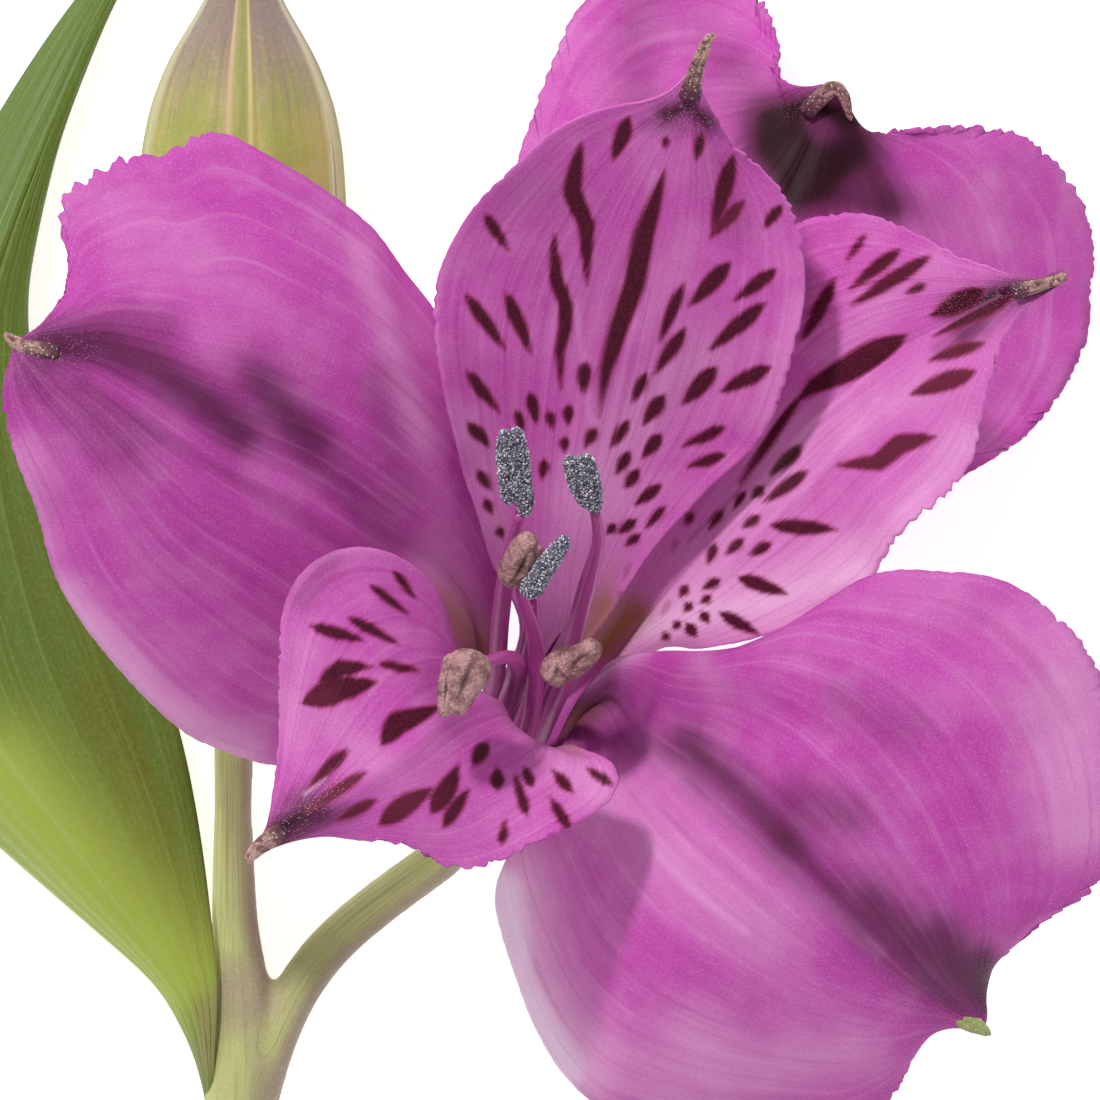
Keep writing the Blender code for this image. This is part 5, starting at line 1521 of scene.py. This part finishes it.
class AlstroemeriaBud(bpy.types.Operator):
    """Adds the closed bud with its ribbed ovary"""

    bl_idname = "alstroemeria.bud"
    bl_label = "Bud"

    def execute(self, context):
        settings = context.scene.alstroemeria_greens
        petals = context.scene.alstroemeria_petals
        base = seen(*BUD_BASE)
        tip = base + np.array((BUD_LEAN, BUD_LENGTH, BUD_TIP_HEIGHT - BUD_BASE[2]))
        along = unit(tip - base)
        side = unit(np.cross(along, (0.0, 0.0, 1.0)))
        over = np.cross(side, along)
        skin = bud_skin(settings)
        rows, columns = BUD_SHEET
        share = np.linspace(0, 1, rows)
        girth = bud_girth(share)
        for _ in range(6):
            girth[1:-1] = (girth[:-2] + girth[1:-1] + girth[2:]) / 3
        girth -= (girth - BUD_TIP_RADIUS) * ramp(share, 0.955, 1.0) ** 2
        v = np.linspace(-1, 1, columns + 1)
        keel = 0.22 * np.exp(-((v / 0.06) ** 2)) - 0.14 * np.exp(-(((np.abs(v) - 0.16) / 0.07) ** 2))
        folds = 0.05 * np.cos(v * 21) - 0.1 * ramp(np.abs(v), 0.85, 1.0)
        reach = girth[:, None] + (keel + folds)[None, :] * np.sin(np.pi * share)[:, None]
        middle = (base + (tip - base) * share[:, None])[:, None]
        seam = np.arcsin(np.minimum(BUD_SEAM_WIDTH / 2 / (girth - 0.25), 0.12))
        thickness = np.minimum(0.4, girth - 0.05)[:, None]
        facts = {"along": share[:, None], "across": v[None, :]}
        ends = (*BUD_SEAMS[1:], BUD_SEAMS[0] + 360)
        for name, start, end in zip(("upper", "left", "right"), BUD_SEAMS, ends):
            low, high = math.radians(start) + seam, math.radians(end) - seam
            angle = ((low + high)[:, None] / 2 + (high - low)[:, None] / 2 * v[None, :])[..., None]
            grid = middle + reach[..., None] * (np.cos(angle) * side + np.sin(angle) * over)
            grid[..., 2] = np.maximum(grid[..., 2], BUD_LOWEST)
            thick_sheet("bud_petal_" + name, grid, thickness, facts, (0.0, 1.0), skin, "bud_tepal_" + name)
        knots = np.linspace(0.04, 0.97, 14)
        profile = list(zip(np.linspace(0, 1, 14), np.maximum(bud_girth(knots) - 0.9, 0.28)))
        low, high = (base + (tip - base) * knots[k] for k in (0, -1))
        furled = green_skin("furled_petals", petals.body_colour[:], petals.dusk_colour[:],
                            petals.vein_colour[:])
        ribbed_body("bud_petals_furled", low, high, profile, FURLED_SIZE, (3, 0.06), 0.2, furled,
                    "bud_inner_tepals")
        green = green_skin("bud_ovary_skin", linear(130, 146, 80), linear(110, 96, 80), linear(92, 112, 56))
        ribbed_body("bud_ovary_ribbed", seen(*BUD_FOOT), base - 0.1 * along, BUD_OVARY_PROFILE, OVARY_SIZE,
                    OVARY_RIBS, 0.2, green, "bud_ovary")
        return {"FINISHED"}


class AlstroemeriaStudio(bpy.types.Operator):
    """Adds the pale floor, the soft light and the camera"""

    bl_idname = "alstroemeria.studio"
    bl_label = "Studio"

    def execute(self, context):
        settings = context.scene.alstroemeria_studio
        scene = context.scene
        bpy.ops.mesh.primitive_plane_add(size=FLOOR_SIZE, location=(0, 0, -FLOOR_DROP))
        floor = context.object
        floor.name = "studio_floor"
        white = (1, 1, 1, 1)
        skin = Skin("studio_floor", Roughness=0.9, Base_Color=(*settings.floor_colour, 1),
                    Emission_Color=white, Emission_Strength=settings.floor_glow)
        floor.data.materials.append(skin.material)
        eye = (np.array((0, 0, EYE_HEIGHT)) - ORIGIN) * MM
        camera = bpy.data.objects.new("camera", bpy.data.cameras.new("camera"))
        scene.collection.objects.link(camera)
        camera.location = eye
        camera.data.sensor_width = SENSOR_WIDTH
        camera.data.lens = SENSOR_WIDTH * (EYE_HEIGHT - TRUE_SCALE_HEIGHT) / VIEW_WIDTH
        camera.data.clip_start = 0.01
        scene.camera = camera
        lamp = bpy.data.objects.new("main_lamp", bpy.data.lights.new("main_lamp", "AREA"))
        scene.collection.objects.link(lamp)
        lamp.data.energy = settings.lamp_power
        lamp.data.size = settings.lamp_size
        towards = unit(np.array(LAMP_WAY))
        lamp.location = np.array((eye[0], eye[1], LAMP_AIM_HEIGHT)) + towards * LAMP_DISTANCE
        lamp.rotation_mode = "QUATERNION"
        lamp.rotation_quaternion = Vector(towards).to_track_quat("Z", "Y")
        world = bpy.data.worlds.new("studio_air")
        world.use_nodes = True
        air = world.node_tree.nodes["Background"]
        air.inputs["Color"].default_value = white
        air.inputs["Strength"].default_value = settings.sky_strength
        scene.world = world
        scene.view_settings.view_transform = "Standard"
        scene.cycles.max_bounces = 4
        scene.cycles.diffuse_bounces = 2
        return {"FINISHED"}


class AlstroemeriaPanel(bpy.types.Panel):
    """The steps that dress the stem, and their settings"""

    bl_idname = "ALSTROEMERIA_PT_steps"
    bl_label = "Alstroemeria"
    bl_space_type = "VIEW_3D"
    bl_region_type = "UI"
    bl_category = "Alstroemeria"

    def draw(self, context):
        for settings_name, operators in STEPS:
            box = self.layout.box()
            settings = getattr(context.scene, settings_name)
            for key in settings.__annotations__:
                box.prop(settings, key)
            for operator in operators:
                box.operator(operator.bl_idname)


SETTINGS = {
    "alstroemeria_petals": PetalSettings,
    "alstroemeria_stamens": StamenSettings,
    "alstroemeria_greens": GreenSettings,
    "alstroemeria_studio": StudioSettings,
}
STEPS = (
    ("alstroemeria_petals", (AlstroemeriaOuterPetals, AlstroemeriaInnerPetals)),
    ("alstroemeria_stamens", (AlstroemeriaStamens,)),
    ("alstroemeria_greens", (AlstroemeriaStem, AlstroemeriaLeaves, AlstroemeriaBud)),
    ("alstroemeria_studio", (AlstroemeriaStudio,)),
)
OPERATORS = [operator for _, operators in STEPS for operator in operators]


def register():
    for made in (*SETTINGS.values(), *OPERATORS, AlstroemeriaPanel):
        bpy.utils.register_class(made)
    for name, settings in SETTINGS.items():
        setattr(bpy.types.Scene, name, bpy.props.PointerProperty(type=settings))


def unregister():
    for name in SETTINGS:
        delattr(bpy.types.Scene, name)
    for made in (AlstroemeriaPanel, *reversed(OPERATORS), *reversed(SETTINGS.values())):
        bpy.utils.unregister_class(made)


def main():
    register()
    bpy.ops.alstroemeria.outer_petals()
    bpy.ops.alstroemeria.inner_petals()
    bpy.ops.alstroemeria.stamens()
    bpy.ops.alstroemeria.stem()
    bpy.ops.alstroemeria.leaves()
    bpy.ops.alstroemeria.bud()
    bpy.ops.alstroemeria.studio()
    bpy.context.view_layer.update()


if __name__ == "__main__":
    main()
